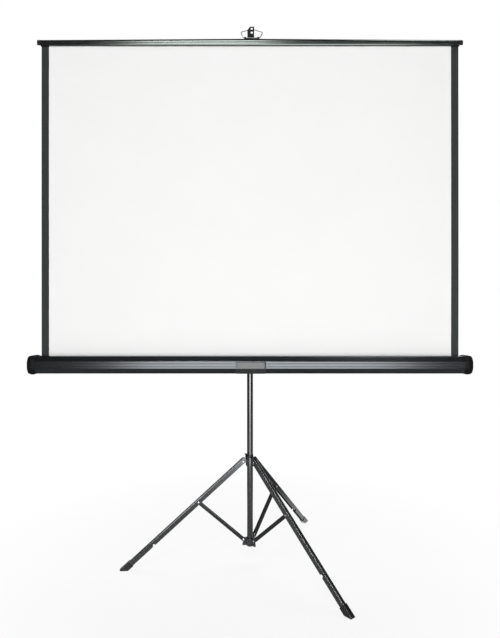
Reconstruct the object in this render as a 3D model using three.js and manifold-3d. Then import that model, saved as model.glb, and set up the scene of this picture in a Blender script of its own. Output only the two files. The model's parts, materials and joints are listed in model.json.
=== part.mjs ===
// Tripod projection screen: a folding three-leg stand, a telescopic mast, a spring-roller case
// on the pole, and a pull-up screen that hangs by its top slat on the mast hook.
// Millimetres, +Z up. The viewing side faces -Y. The pole axis is the line X = Y = 0 of the design.
import * as THREE from 'three';
import { mergeVertices } from 'three/addons/utils/BufferGeometryUtils.js';
import Module from 'manifold-3d';

const wasm = await Module();
wasm.setup();

// Fits
const SEAT_GAP = 0.3; // between pieces that seat on each other
const RUN_GAP = 0.5; // between pieces that turn or slide on each other
const PIN_GAP = 0.25; // round a pivot pin in its hole
const ARC_STEPS = 12; // facets in half a turn of a tube or collar
const PIN_STEPS = 6; // facets in half a turn of a pin or screw
const WELD_DISTANCE = 1e-4; // corners closer than this are one corner

// Screen fabric
const VIEW_WIDTH = 1600; // white picture width
const BORDER_WIDTH = 29.5; // black strip at each side
const VIEW_HEIGHT = 1232; // fabric showing between the case and the slat
const FABRIC_THICKNESS = 0.8;

// Roller and case
const ROLLER_AXIS_HEIGHT = 813; // above the floor
const ROLL_RADIUS = 16; // fabric still wound on the roller
const ROLLER_RADIUS = 12.5;
const ROLLER_WALL = 1.5;
const CASE_DEPTH = 66;
const CASE_HEIGHT = 67;
const CASE_WALL = 1.6;
const CASE_FRONT_FACE = 29; // height of the middle front facet
const CASE_FRONT_CHAMFER = 12; // depth of the front facets above and below it
const CASE_BACK_CHAMFER = 6;
const CASE_SLOT = 11; // slot on top that the fabric leaves by
const CASE_CLEAR_OF_POLE = 16; // room for the carriage pad and the swivel plate
const END_CAP_LENGTH = 31;
const END_CAP_WALL = 12.5;
const END_CAP_MOUTH = 1.6; // proud of the shell all round at its inner edge
const END_CAP_LIP = 4; // proud of the shell all round at its widest
const END_CAP_FLARE = 10; // from its inner edge to its widest
const END_CAP_DROP = 12; // its rounded end falls this far back from the lip
const CASE_MARGIN = 8.5; // from the fabric edge to the inner edge of an end cap
const GUDGEON_RADIUS = 4;
const GUDGEON_DEPTH = 7; // the gudgeon and the spear reach this far into the cap wall
const ROLLER_PLUG_LENGTH = 22;
const SPRING_LENGTH = 300;
const SPRING_RADIUS = 9.8;
const GRIP_LENGTH = 118;
const GRIP_THICKNESS = 3.6;
const GRIP_END_THICKNESS = 1.1;
const GRIP_EDGE = 1.6; // bevel along its upper and lower edges
const GRIP_RINGS = 8;
const GRIP_SHIFT = 3; // the grip sits a little right of the middle

// Pole, extension rod and their collar
const POLE_DIAMETER = 24;
const POLE_WALL = 1.4;
const POLE_TOP = 1190;
const POLE_BELOW_BASE_PINS = 23;
const POLE_PLUG_HEAD = 4;
const POLE_PLUG_STEM = 18;
const ROD_DIAMETER = 20;
const ROD_WALL = 1.2;
const ROD_OVERLAP = 120; // rod left inside the pole when it is drawn out
const ROD_FOOT = 14;
const ROD_PLUG_STEM = 20;
const COLLAR_WALL = 5.5; // wall of every collar on the pole
const ROD_COLLAR_SKIRT = 30;
const ROD_COLLAR_HEAD = 18;
const CARRIAGE_HEIGHT = 58;
const CARRIAGE_PAD_WIDTH = 38;
const CARRIAGE_PAD_HEIGHT = 42;
const SWIVEL_PLATE_RADIUS = 25;
const SWIVEL_PLATE_THICKNESS = 5;
const SWIVEL_BOLT_RADIUS = 4;
const SWIVEL_HEAD_RADIUS = 7.5;
const SWIVEL_HEAD = 5;
const KNOB_RADIUS = 14;
const KNOB_LENGTH = 14;
const KNOB_LOBES = 6;
const KNOB_LOBE_DEPTH = 1.6;
const KNOB_SCREW_RADIUS = 3;
const KNOB_BOSS_RADIUS = 8;
const KNOB_BOSS_LENGTH = 9; // beyond the collar

// Stand linkage: each leg and its strut make an isosceles triangle with the pole
const LEG_SPREAD = THREE.MathUtils.degToRad(49); // from the pole, stand open
const LEG_LENGTH = 631; // hub pin to the floor, along the leg
const LINK_LENGTH = 240; // hub pin to strut pin, and strut pin to base pin
const PIVOT_RADIUS = 27; // hub pins and base pins, from the pole axis
const LEG_HEADINGS = { left: 186.5, front: -48.4, back: 57.6 }; // degrees from +X, seen from above
const LEG_WIDTH = 16;
const LEG_DEPTH = 20;
const LEG_WALL = 1.5;
const LEG_HEAD = 4; // from the hub pin to the middle of the leg's round end
const LEG_LEAN = 4; // the leg stands this far outside its pins at the hub, and on them at the boot
const LEG_NOTCH_WIDTH = 12;
const LEG_NOTCH_DEPTH = 8;
const STRUT_WIDTH = 12;
const STRUT_DEPTH = 13;
const STRUT_WALL = 1.5;
const STRUT_WEB_TRIM = 12; // the web stops this far from each strut pin
const PIN_RADIUS = 2.8;
const PIN_HEAD_RADIUS = 4.6;
const PIN_HEAD = 1.6;
const BOOT_LENGTH = 40;
const BOOT_WALL = 1.8;
const BOOT_SOLE = 19; // along the leg, from the leg end to the floor
const BOOT_TOE_CUT = 5;
const HUB_BELOW_PINS = 14;
const HUB_ABOVE_PINS = 17.5;
const HUB_STOP_HEIGHT = 5;
const HUB_STOP_WALL = 2.2;
const BASE_EYE_RADIUS = 7;
const BASE_ABOVE_PINS = 5;
const BASE_TOE_REACH = 4; // the toe of each base ear, beyond the pin
const BASE_TOE_HEIGHT = 5;

// Release latch on the hub
const LATCH_HEADING = 225;
const LATCH_WIDTH = 9;
const LATCH_THICKNESS = 5;
const LATCH_RISE = 15;
const LATCH_LEAN = 7;
const LATCH_LUG = 2.4;
const LATCH_PIN_RADIUS = 1.5;
const LATCH_BOSS_RADIUS = 3.6;
const LATCH_PIN_OUT = 5.2; // from the pole to the latch pin
const LATCH_LUG_ROOT = 6; // depth of each lug in the collar

// Slat, bail and hook
const SLAT_HEIGHT = 26;
const SLAT_DEPTH = 20;
const SLAT_WALL = 1.4;
const SLAT_FOOT = 15.6; // width of its underside
const SLAT_FOOT_RISE = 4.8;
const SLAT_GROOVE = 1.4;
const SLAT_GROOVE_HEIGHT = 8;
const SLAT_GROOVE_WIDTH = 4.5;
const SLAT_TOP_CHAMFER = 4.5;
const SLAT_SLOT = 3.2;
const SLAT_CAP = 14.5;
const SLAT_CAP_WALL = 6;
const SLAT_CAP_LIP = 1.2;
const DOWEL_RADIUS = 4;
const HANG_SHIFT = 7; // the bail and the hook windows sit a little right of the middle
const WIRE_RADIUS = 1.9;
const BAIL_FOOT = 32; // half width at the slat
const BAIL_SHOULDER = 41.5; // half width at the widest
const BAIL_SHOULDER_HEIGHT = 18;
const BAIL_CORNER_HEIGHT = 23;
const BAIL_PEAK_HEIGHT = 31.5;
const SADDLE_THICKNESS = 4.6;
const SADDLE_DEPTH = 10.6;
const SADDLE_BARREL = 8; // length of each rolled end
const SADDLE_BARREL_WALL = 1.5;
const HOOK_WIDTH = 27;
const HOOK_THICKNESS = 2.5;
const HOOK_HEIGHT = 40;
const HOOK_LEFT = 17.4; // hook edge left of the windows' middle
const HOOK_CORNER_CUT = 11; // width of the cut upper left corner
const HOOK_CORNER_DROP = 14;
const HOOK_WINDOW_WIDTH = 8;
const HOOK_WINDOW_HEIGHT = 9;
const HOOK_WINDOW_PITCH = 14.5;
const HOOK_TONGUE_THICKNESS = 2.2;
const HOOK_LIP = 4;
const HOOK_SCREW_RADIUS = 2.6;
const HOOK_SCREW_HEAD = 3;
const HOOK_SCREW_LENGTH = 14;

// Heights and places that follow from the sizes above
const poleRadius = POLE_DIAMETER / 2;
const poleBore = poleRadius - POLE_WALL;
const rodRadius = ROD_DIAMETER / 2;
const rodBore = rodRadius - ROD_WALL;
const collarRadius = poleRadius + COLLAR_WALL;
const fabricWidth = VIEW_WIDTH + 2 * BORDER_WIDTH;
const hubHeight = LEG_LENGTH * Math.cos(LEG_SPREAD);
const baseHeight = hubHeight - 2 * LINK_LENGTH * Math.cos(LEG_SPREAD);
const poleFoot = baseHeight - POLE_BELOW_BASE_PINS;
const caseBack = -(poleRadius + CASE_CLEAR_OF_POLE);
const rollerY = caseBack - CASE_DEPTH / 2;
const fabricY = rollerY + ROLL_RADIUS + SEAT_GAP + FABRIC_THICKNESS / 2;
const caseTop = ROLLER_AXIS_HEIGHT + CASE_HEIGHT / 2;
const slatFoot = caseTop + VIEW_HEIGHT;
const slatTop = slatFoot + SLAT_HEIGHT;
const capInner = fabricWidth / 2 + CASE_MARGIN;
const capOuter = capInner + END_CAP_LENGTH;
const shellHalf = capOuter - END_CAP_WALL - SEAT_GAP;
const rollerHalf = capInner - SEAT_GAP;
const dowelHeight = slatFoot + SLAT_WALL + SEAT_GAP + DOWEL_RADIUS;
const saddleTop = slatTop + SEAT_GAP + SADDLE_THICKNESS;
const barrelRadius = WIRE_RADIUS + PIN_GAP + SADDLE_BARREL_WALL;
const bailFoot = saddleTop + barrelRadius - SADDLE_BARREL_WALL / 2;
const hookFoot = bailFoot + WIRE_RADIUS + RUN_GAP;
const hookFront = fabricY - WIRE_RADIUS - RUN_GAP - HOOK_THICKNESS;
const tongueTop = bailFoot + BAIL_PEAK_HEIGHT - WIRE_RADIUS - SEAT_GAP;
const rodTop = hookFoot - SEAT_GAP;
const legInnerWidth = LEG_WIDTH - 2 * LEG_WALL;
const strutInnerWidth = STRUT_WIDTH - 2 * STRUT_WALL;

// Finishes
const finish = (color, roughness, metalness) => (
  new THREE.MeshStandardMaterial({ color, roughness, metalness })
);
const darkPaint = finish(0x34383a, 0.4, 0.55);
const blackPlastic = finish(0x17191a, 0.5, 0);
const brightZinc = finish(0xc9ccce, 0.3, 1);
const rubber = finish(0x141414, 0.85, 0);
const whiteFabric = finish(0xf2f2ef, 0.9, 0);
const steelTube = finish(0x8d9194, 0.35, 1);
const paleNylon = finish(0xd8d6cd, 0.6, 0);

// Solid joining and cutting
function solidOf(geometry) {
  const bare = geometry.clone();
  bare.deleteAttribute('normal');
  bare.deleteAttribute('uv');
  const merged = mergeVertices(bare, WELD_DISTANCE);
  return new wasm.Manifold(new wasm.Mesh({
    numProp: 3,
    vertProperties: Float32Array.from(merged.attributes.position.array),
    triVerts: Uint32Array.from(merged.index.array),
  }));
}

function geometryOf(solid) {
  const mesh = solid.getMesh();
  const geometry = new THREE.BufferGeometry();
  geometry.setAttribute('position', new THREE.BufferAttribute(mesh.vertProperties, 3));
  geometry.setIndex(new THREE.BufferAttribute(mesh.triVerts, 1));
  geometry.computeVertexNormals();
  return geometry;
}

const join = (...bodies) => geometryOf(bodies.map(solidOf).reduce((sum, next) => sum.add(next)));
const cut = (body, ...tools) => (
  geometryOf(tools.map(solidOf).reduce((rest, tool) => rest.subtract(tool), solidOf(body)))
);

// Sweeps of a flat outline, each centred on its travel
const X_AXIS = new THREE.Vector3(1, 0, 0);
const Y_AXIS = new THREE.Vector3(0, 1, 0);
const Z_AXIS = new THREE.Vector3(0, 0, 1);
const SWEEP_ALONG_X = new THREE.Matrix4().makeBasis(Y_AXIS, Z_AXIS, X_AXIS);
const SWEEP_ALONG_Y = new THREE.Matrix4().makeBasis(X_AXIS, Z_AXIS, Y_AXIS.clone().negate());

function alongZ(shape, length, curveSegments = ARC_STEPS) {
  const settings = { depth: length, bevelEnabled: false, curveSegments };
  return new THREE.ExtrudeGeometry(shape, settings).translate(0, 0, -length / 2);
}

const alongX = (shape, length, steps) => alongZ(shape, length, steps).applyMatrix4(SWEEP_ALONG_X);
const alongY = (shape, length, steps) => alongZ(shape, length, steps).applyMatrix4(SWEEP_ALONG_Y);
const box = (x, y, z) => new THREE.BoxGeometry(x, y, z);
const between = (low, high) => (low + high) / 2;

function outlineShape(points) {
  return new THREE.Shape(points.map(([u, v]) => new THREE.Vector2(u, v)));
}

function disc(radius, bore = 0) {
  const shape = new THREE.Shape().absarc(0, 0, radius, 0, 2 * Math.PI, false);
  if (bore > 0) {
    shape.holes.push(new THREE.Path().absarc(0, 0, bore, 0, 2 * Math.PI, true));
  }
  return shape;
}

// Ring or solid cylinder standing between two heights
function upright(radius, bore, low, high) {
  return alongZ(disc(radius, bore), high - low).translate(0, 0, between(low, high));
}

// Outline moved outwards, corner by corner; the outline runs anticlockwise
function grown(outline, distance) {
  return outline.map(([u, v], i) => {
    const [u0, v0] = outline[(i + outline.length - 1) % outline.length];
    const [u1, v1] = outline[(i + 1) % outline.length];
    const before = new THREE.Vector2(v - v0, u0 - u).normalize();
    const after = new THREE.Vector2(v1 - v, u - u1).normalize();
    const corner = before.clone().add(after).normalize();
    const reach = distance / corner.dot(before);
    return [u + corner.x * reach, v + corner.y * reach];
  });
}

// Closed skin over (y, z) outlines placed at rising x; the outlines run anticlockwise
function loftAlongX(stations) {
  const count = stations[0].outline.length;
  const positions = stations.flatMap(({ x, outline }) => outline.flatMap(([y, z]) => [x, y, z]));
  const index = [];
  for (let s = 0; s + 1 < stations.length; s += 1) {
    for (let i = 0; i < count; i += 1) {
      const a = s * count + i;
      const b = s * count + (i + 1) % count;
      index.push(a, b, b + count, a, b + count, a + count);
    }
  }
  const lastRing = (stations.length - 1) * count;
  const endFaces = ({ outline }) => {
    const contour = outline.map(([y, z]) => new THREE.Vector2(y, z));
    return THREE.ShapeUtils.triangulateShape(contour, []);
  };
  endFaces(stations[0]).forEach(([a, b, c]) => index.push(a, c, b));
  endFaces(stations.at(-1)).forEach(([a, b, c]) => index.push(lastRing + a, lastRing + b, lastRing + c));
  const geometry = new THREE.BufferGeometry();
  geometry.setAttribute('position', new THREE.Float32BufferAttribute(positions, 3));
  geometry.setIndex(index);
  geometry.computeVertexNormals();
  return geometry;
}

// Left-hand copy of a right-hand piece; its triangles are turned round to face outwards again
function mirroredInX(geometry) {
  const copy = geometry.clone().scale(-1, 1, 1);
  copy.setIndex(Array.from(geometry.index.array).reverse());
  copy.computeVertexNormals();
  return copy;
}

// Scene graph
const group = new THREE.Group();

function place(name, geometry, material, parent = group) {
  const mesh = new THREE.Mesh(geometry, material);
  mesh.name = name;
  parent.add(mesh);
  return mesh;
}

// Frame whose +X points outwards along a heading and whose origin lies on the pole axis
function spoke(heading) {
  const frame = new THREE.Group();
  frame.rotation.z = THREE.MathUtils.degToRad(heading);
  group.add(frame);
  return frame;
}

const turned = (geometry, heading) => geometry.rotateZ(THREE.MathUtils.degToRad(heading));
const headings = Object.values(LEG_HEADINGS);

// Pivot pin across Y, with a head at each end
function pivotPin(grip) {
  const shank = alongY(disc(PIN_RADIUS), grip + 2 * SEAT_GAP + PIN_HEAD, PIN_STEPS);
  const headAt = grip / 2 + SEAT_GAP + PIN_HEAD / 2;
  const head = (y) => alongY(disc(PIN_HEAD_RADIUS), PIN_HEAD, PIN_STEPS).translate(0, y, 0);
  return join(shank, head(-headAt), head(headAt));
}

const pinHole = (length) => alongY(disc(PIN_RADIUS + PIN_GAP), length, PIN_STEPS);

// Pole tube, the plug in its foot and the ring that stops the hub
function makePole() {
  place('pole_tube', upright(poleRadius, poleBore, poleFoot, POLE_TOP), darkPaint);
  const headTop = poleFoot - SEAT_GAP;
  place('pole_plug', join(
    upright(poleRadius, 0, headTop - POLE_PLUG_HEAD, headTop),
    upright(poleBore - SEAT_GAP, 0, headTop - POLE_PLUG_HEAD / 2, headTop + POLE_PLUG_STEM),
  ), blackPlastic);
  const stopTop = hubHeight - HUB_BELOW_PINS - SEAT_GAP;
  const stopBore = poleRadius + SEAT_GAP;
  const stopRing = upright(stopBore + HUB_STOP_WALL, stopBore, stopTop - HUB_STOP_HEIGHT, stopTop);
  place('hub_stop', stopRing, darkPaint);
}

// Bracket at the foot of the pole: a collar with one ear for each strut
function makeBase() {
  const earRoot = poleRadius + COLLAR_WALL / 2;
  const ear = new THREE.Shape();
  ear.moveTo(earRoot, -POLE_BELOW_BASE_PINS);
  ear.lineTo(PIVOT_RADIUS + BASE_TOE_REACH, -POLE_BELOW_BASE_PINS);
  ear.lineTo(PIVOT_RADIUS + BASE_TOE_REACH, BASE_TOE_HEIGHT - POLE_BELOW_BASE_PINS);
  ear.absarc(PIVOT_RADIUS, 0, BASE_EYE_RADIUS, -Math.PI / 2, Math.PI / 2, false);
  ear.lineTo(earRoot, BASE_EYE_RADIUS);
  const earThickness = strutInnerWidth - 2 * RUN_GAP;
  const collar = upright(collarRadius, 0, -POLE_BELOW_BASE_PINS, BASE_ABOVE_PINS);
  const ears = headings.map((heading) => turned(alongY(ear, earThickness, PIN_STEPS), heading));
  const holes = headings.map((heading) => (
    turned(pinHole(STRUT_WIDTH).translate(PIVOT_RADIUS, 0, 0), heading)
  ));
  const boreLength = POLE_BELOW_BASE_PINS + BASE_EYE_RADIUS + 2 * RUN_GAP;
  const bore = upright(poleRadius + SEAT_GAP, 0, -boreLength, boreLength);
  place('base_bracket', cut(join(collar, ...ears), bore, ...holes), darkPaint).position.z = baseHeight;
  Object.entries(LEG_HEADINGS).forEach(([side, heading]) => {
    const pin = place(`base_pin_${side}`, pivotPin(STRUT_WIDTH), brightZinc, spoke(heading));
    pin.position.set(PIVOT_RADIUS, 0, baseHeight);
  });
}

// Sliding hub: a collar with one ear for each leg and two lugs for the release latch
function makeHub() {
  const earRoot = poleRadius + COLLAR_WALL / 2;
  const earRadius = LEG_DEPTH / 2 - LEG_WALL - RUN_GAP;
  const ear = new THREE.Shape();
  ear.moveTo(earRoot, -earRadius);
  ear.absarc(PIVOT_RADIUS, 0, earRadius, -Math.PI / 2, Math.PI / 2, false);
  ear.lineTo(earRoot, earRadius);
  const earThickness = legInnerWidth - 2 * RUN_GAP;
  const ears = headings.map((heading) => turned(alongY(ear, earThickness, PIN_STEPS), heading));
  const holes = headings.map((heading) => (
    turned(pinHole(LEG_WIDTH).translate(PIVOT_RADIUS, 0, 0), heading)
  ));
  const latchPinRadius = poleRadius + LATCH_PIN_OUT;
  const latchPinHeight = HUB_ABOVE_PINS + LATCH_BOSS_RADIUS + RUN_GAP;
  const lugRoot = HUB_ABOVE_PINS - LATCH_LUG_ROOT;
  const lug = new THREE.Shape();
  lug.moveTo(latchPinRadius + LATCH_BOSS_RADIUS, lugRoot + LATCH_BOSS_RADIUS);
  lug.absarc(latchPinRadius, latchPinHeight, LATCH_BOSS_RADIUS, 0, Math.PI, false);
  lug.lineTo(latchPinRadius - LATCH_BOSS_RADIUS, lugRoot);
  lug.lineTo(latchPinRadius, lugRoot);
  const lugAt = LATCH_WIDTH / 2 + RUN_GAP + LATCH_LUG / 2;
  const lugs = [-lugAt, lugAt].map((y) => (
    turned(alongY(lug, LATCH_LUG, PIN_STEPS).translate(0, y, 0), LATCH_HEADING)
  ));
  const lugSpan = LATCH_WIDTH + 2 * (RUN_GAP + LATCH_LUG);
  const latchHole = alongY(disc(LATCH_PIN_RADIUS + PIN_GAP), lugSpan + 2 * RUN_GAP, PIN_STEPS);
  const collar = upright(collarRadius, 0, -HUB_BELOW_PINS, HUB_ABOVE_PINS);
  const bore = upright(poleRadius + RUN_GAP, 0, -HUB_BELOW_PINS - RUN_GAP, HUB_ABOVE_PINS + RUN_GAP);
  const latchHoleAt = turned(latchHole.clone().translate(latchPinRadius, 0, latchPinHeight), LATCH_HEADING);
  const hub = cut(join(collar, ...ears, ...lugs), bore, latchHoleAt, ...holes);
  place('hub_collar', hub, darkPaint).position.z = hubHeight;
  Object.entries(LEG_HEADINGS).forEach(([side, heading]) => {
    const pin = place(`hub_pin_${side}`, pivotPin(LEG_WIDTH), brightZinc, spoke(heading));
    pin.position.set(PIVOT_RADIUS, 0, hubHeight);
  });
  const latchFrame = new THREE.Group();
  latchFrame.name = 'latch_pivot';
  latchFrame.position.set(latchPinRadius, 0, hubHeight + latchPinHeight);
  spoke(LATCH_HEADING).add(latchFrame);
  place('latch_pin', alongY(disc(LATCH_PIN_RADIUS), lugSpan, PIN_STEPS), brightZinc, latchFrame);
  const arm = outlineShape([
    [-LATCH_THICKNESS / 2, 0],
    [LATCH_THICKNESS / 2, 0],
    [LATCH_LEAN + LATCH_THICKNESS / 2, LATCH_RISE],
    [LATCH_LEAN - LATCH_THICKNESS / 2, LATCH_RISE],
  ]);
  const lever = join(alongY(arm, LATCH_WIDTH), alongY(disc(LATCH_BOSS_RADIUS), LATCH_WIDTH, PIN_STEPS));
  place('hub_latch', cut(lever, latchHole), blackPlastic, latchFrame);
}

// Leg: U channel open towards the pole, round at the hub, notched where the base pin lies when folded
function legChannel() {
  const half = LEG_DEPTH / 2;
  const legEnd = -(LEG_LENGTH - BOOT_SOLE);
  const notchAt = -2 * LINK_LENGTH;
  const notchHalf = LEG_NOTCH_WIDTH / 2;
  const notchEnd = LEG_NOTCH_DEPTH - notchHalf - half;
  const side = new THREE.Shape();
  side.moveTo(half, LEG_HEAD);
  side.absarc(0, LEG_HEAD, half, 0, Math.PI, false);
  side.lineTo(-half, notchAt + notchHalf);
  side.absarc(notchEnd, notchAt, notchHalf, Math.PI / 2, -Math.PI / 2, true);
  side.lineTo(-half, notchAt - notchHalf);
  side.lineTo(-half, legEnd);
  side.lineTo(half, legEnd);
  const inside = box(LEG_DEPTH, legInnerWidth, 2 * LEG_LENGTH).translate(-LEG_WALL, 0, 0);
  const topOpening = box(2 * LEG_DEPTH, legInnerWidth, LEG_DEPTH).translate(0, 0, half);
  const slope = LEG_LEAN / (LEG_LENGTH - BOOT_LENGTH);
  const lean = new THREE.Matrix4().set(1, 0, slope, LEG_LEAN, 0, 1, 0, 0, 0, 0, 1, 0, 0, 0, 0, 1);
  const channel = cut(alongY(side, LEG_WIDTH, PIN_STEPS), inside, topOpening).applyMatrix4(lean);
  const holes = [0, -LINK_LENGTH].map((z) => pinHole(2 * LEG_WIDTH).translate(0, 0, z));
  return cut(channel, ...holes);
}

// Rubber boot: a cup on the end of the leg, cut level where it stands on the floor
function boot() {
  const front = LEG_DEPTH / 2 + SEAT_GAP + BOOT_WALL;
  const floorAt = (x) => -LEG_LENGTH - x * Math.tan(LEG_SPREAD);
  const rim = BOOT_LENGTH - LEG_LENGTH;
  const side = outlineShape([
    [-front, rim],
    [-front, floorAt(-front)],
    [front - BOOT_TOE_CUT, floorAt(front - BOOT_TOE_CUT)],
    [front, floorAt(front) + BOOT_TOE_CUT],
    [front, rim],
  ]);
  const width = LEG_WIDTH + 2 * (SEAT_GAP + BOOT_WALL);
  const socketFloor = BOOT_SOLE - LEG_LENGTH - SEAT_GAP;
  const socket = box(LEG_DEPTH + 2 * SEAT_GAP, LEG_WIDTH + 2 * SEAT_GAP, BOOT_LENGTH)
    .translate(0, 0, socketFloor + BOOT_LENGTH / 2);
  return cut(alongY(side, width), socket);
}

// Strut: narrow U channel with bare flanges at its two pins
function strutChannel() {
  const half = STRUT_DEPTH / 2;
  const side = new THREE.Shape();
  side.absarc(0, LINK_LENGTH, half, 0, Math.PI, false);
  side.absarc(0, 0, half, Math.PI, 2 * Math.PI, false);
  const inside = box(STRUT_DEPTH, strutInnerWidth, 2 * LINK_LENGTH).translate(STRUT_WALL, 0, LINK_LENGTH / 2);
  const openEnds = [0, LINK_LENGTH].map((z) => (
    box(2 * STRUT_DEPTH, strutInnerWidth, 2 * STRUT_WEB_TRIM).translate(0, 0, z)
  ));
  const holes = [0, LINK_LENGTH].map((z) => pinHole(2 * STRUT_WIDTH).translate(0, 0, z));
  return cut(alongY(side, STRUT_WIDTH, PIN_STEPS), inside, ...openEnds, ...holes);
}

function makeLegs() {
  Object.entries(LEG_HEADINGS).forEach(([side, heading]) => {
    const frame = spoke(heading);
    const legFrame = new THREE.Group();
    legFrame.name = `leg_pivot_${side}`;
    legFrame.position.set(PIVOT_RADIUS, 0, hubHeight);
    legFrame.rotation.y = -LEG_SPREAD;
    frame.add(legFrame);
    place(`leg_${side}`, legChannel(), darkPaint, legFrame);
    place(`boot_${side}`, boot(), rubber, legFrame);
    place(`strut_pin_${side}`, pivotPin(LEG_WIDTH), brightZinc, legFrame).position.z = -LINK_LENGTH;
    const strutFrame = new THREE.Group();
    strutFrame.name = `base_pivot_${side}`;
    strutFrame.position.set(PIVOT_RADIUS, 0, baseHeight);
    strutFrame.rotation.y = LEG_SPREAD;
    frame.add(strutFrame);
    place(`strut_${side}`, strutChannel(), darkPaint, strutFrame);
  });
}

// Lobed hand knob with its screw, both along +Y; y = 0 is the tip of the screw
function handKnob(screwLength) {
  const rim = new THREE.Shape();
  const steps = KNOB_LOBES * ARC_STEPS / 2;
  for (let i = 0; i < steps; i += 1) {
    const angle = 2 * Math.PI * i / steps;
    const radius = KNOB_RADIUS - KNOB_LOBE_DEPTH * (1 - Math.cos(KNOB_LOBES * angle)) / 2;
    const move = i === 0 ? 'moveTo' : 'lineTo';
    rim[move](radius * Math.cos(angle), radius * Math.sin(angle));
  }
  const screw = alongY(disc(KNOB_SCREW_RADIUS), screwLength + KNOB_LENGTH / 2, PIN_STEPS);
  return join(
    screw.translate(0, (screwLength + KNOB_LENGTH / 2) / 2, 0),
    alongY(rim, KNOB_LENGTH).translate(0, screwLength + KNOB_LENGTH / 2, 0),
  );
}

const knobBoss = (from, to) => alongY(disc(KNOB_BOSS_RADIUS), to - from).translate(0, between(from, to), 0);
const knobHole = (to) => alongY(disc(KNOB_SCREW_RADIUS + PIN_GAP), to, PIN_STEPS).translate(0, to / 2, 0);
const bossEnd = collarRadius + KNOB_BOSS_LENGTH;

// Collar at the top of the pole that clamps the extension rod
function makeRodCollar() {
  const headTop = POLE_TOP + SEAT_GAP + ROD_COLLAR_HEAD;
  const knobHeight = between(POLE_TOP, headTop);
  const shell = join(
    upright(collarRadius, 0, POLE_TOP - ROD_COLLAR_SKIRT, headTop),
    knobBoss(rodRadius + RUN_GAP, bossEnd).translate(0, 0, knobHeight),
  );
  const poleSeat = upright(poleRadius + SEAT_GAP, 0, POLE_TOP - 2 * ROD_COLLAR_SKIRT, POLE_TOP + SEAT_GAP);
  const rodBoreHole = upright(rodRadius + RUN_GAP, 0, POLE_TOP, headTop + RUN_GAP);
  const screwHole = knobHole(bossEnd + RUN_GAP).translate(0, 0, knobHeight);
  place('rod_collar', cut(shell, poleSeat, rodBoreHole, screwHole), blackPlastic);
  const knobTip = rodRadius + SEAT_GAP;
  const knob = place('rod_knob', handKnob(bossEnd + RUN_GAP - knobTip), blackPlastic);
  knob.position.set(0, knobTip, knobHeight);
}

// Carriage that clamps the case to the pole, with the swivel plate and bolt that carry the case
function makeCarriage() {
  const padFront = caseBack + SEAT_GAP + SWIVEL_PLATE_THICKNESS + SEAT_GAP;
  const low = ROLLER_AXIS_HEIGHT - CARRIAGE_HEIGHT / 2;
  const high = ROLLER_AXIS_HEIGHT + CARRIAGE_HEIGHT / 2;
  const shell = join(
    upright(collarRadius, 0, low, high),
    box(CARRIAGE_PAD_WIDTH, -padFront, CARRIAGE_PAD_HEIGHT).translate(0, padFront / 2, ROLLER_AXIS_HEIGHT),
    knobBoss(poleRadius + RUN_GAP, bossEnd).translate(0, 0, ROLLER_AXIS_HEIGHT),
  );
  const bore = upright(poleRadius + RUN_GAP, 0, low - RUN_GAP, high + RUN_GAP);
  const screwHole = knobHole(bossEnd + RUN_GAP).translate(0, 0, ROLLER_AXIS_HEIGHT);
  const boltHole = swivelHole(poleRadius - padFront + RUN_GAP).translate(0, padFront, 0);
  place('case_carriage', cut(shell, bore, screwHole, boltHole), blackPlastic);
  const knobTip = poleRadius + SEAT_GAP;
  const knob = place('carriage_knob', handKnob(bossEnd + RUN_GAP - knobTip), blackPlastic);
  knob.position.set(0, knobTip, ROLLER_AXIS_HEIGHT);

  const plate = alongY(disc(SWIVEL_PLATE_RADIUS, SWIVEL_BOLT_RADIUS + PIN_GAP), SWIVEL_PLATE_THICKNESS);
  const plateY = caseBack + SEAT_GAP + SWIVEL_PLATE_THICKNESS / 2;
  place('swivel_plate', plate, darkPaint).position.set(0, plateY, ROLLER_AXIS_HEIGHT);
  const headBack = caseBack - CASE_WALL - SEAT_GAP;
  const boltEnd = -(poleRadius + 2 * SEAT_GAP);
  const shank = alongY(disc(SWIVEL_BOLT_RADIUS), boltEnd - headBack + SWIVEL_HEAD / 2);
  const bolt = join(
    shank.translate(0, between(headBack - SWIVEL_HEAD / 2, boltEnd), 0),
    alongY(hexagon(SWIVEL_HEAD_RADIUS), SWIVEL_HEAD).translate(0, headBack - SWIVEL_HEAD / 2, 0),
  );
  place('swivel_bolt', bolt, brightZinc).position.z = ROLLER_AXIS_HEIGHT;
}

function swivelHole(length) {
  return alongY(disc(SWIVEL_BOLT_RADIUS + PIN_GAP), 2 * length).translate(0, 0, ROLLER_AXIS_HEIGHT);
}

function hexagon(radius) {
  const corner = (i) => [radius * Math.cos(Math.PI * i / 3), radius * Math.sin(Math.PI * i / 3)];
  return outlineShape([0, 1, 2, 3, 4, 5].map(corner));
}

// Case section in (y, z) about the roller axis, anticlockwise from the lower front corner
function caseOutline() {
  const front = -CASE_DEPTH / 2;
  const back = CASE_DEPTH / 2;
  const top = CASE_HEIGHT / 2;
  return [
    [front + CASE_FRONT_CHAMFER, -top],
    [back - CASE_BACK_CHAMFER, -top],
    [back, CASE_BACK_CHAMFER - top],
    [back, top - CASE_BACK_CHAMFER],
    [back - CASE_BACK_CHAMFER, top],
    [front + CASE_FRONT_CHAMFER, top],
    [front, CASE_FRONT_FACE / 2],
    [front, -CASE_FRONT_FACE / 2],
  ];
}

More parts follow.
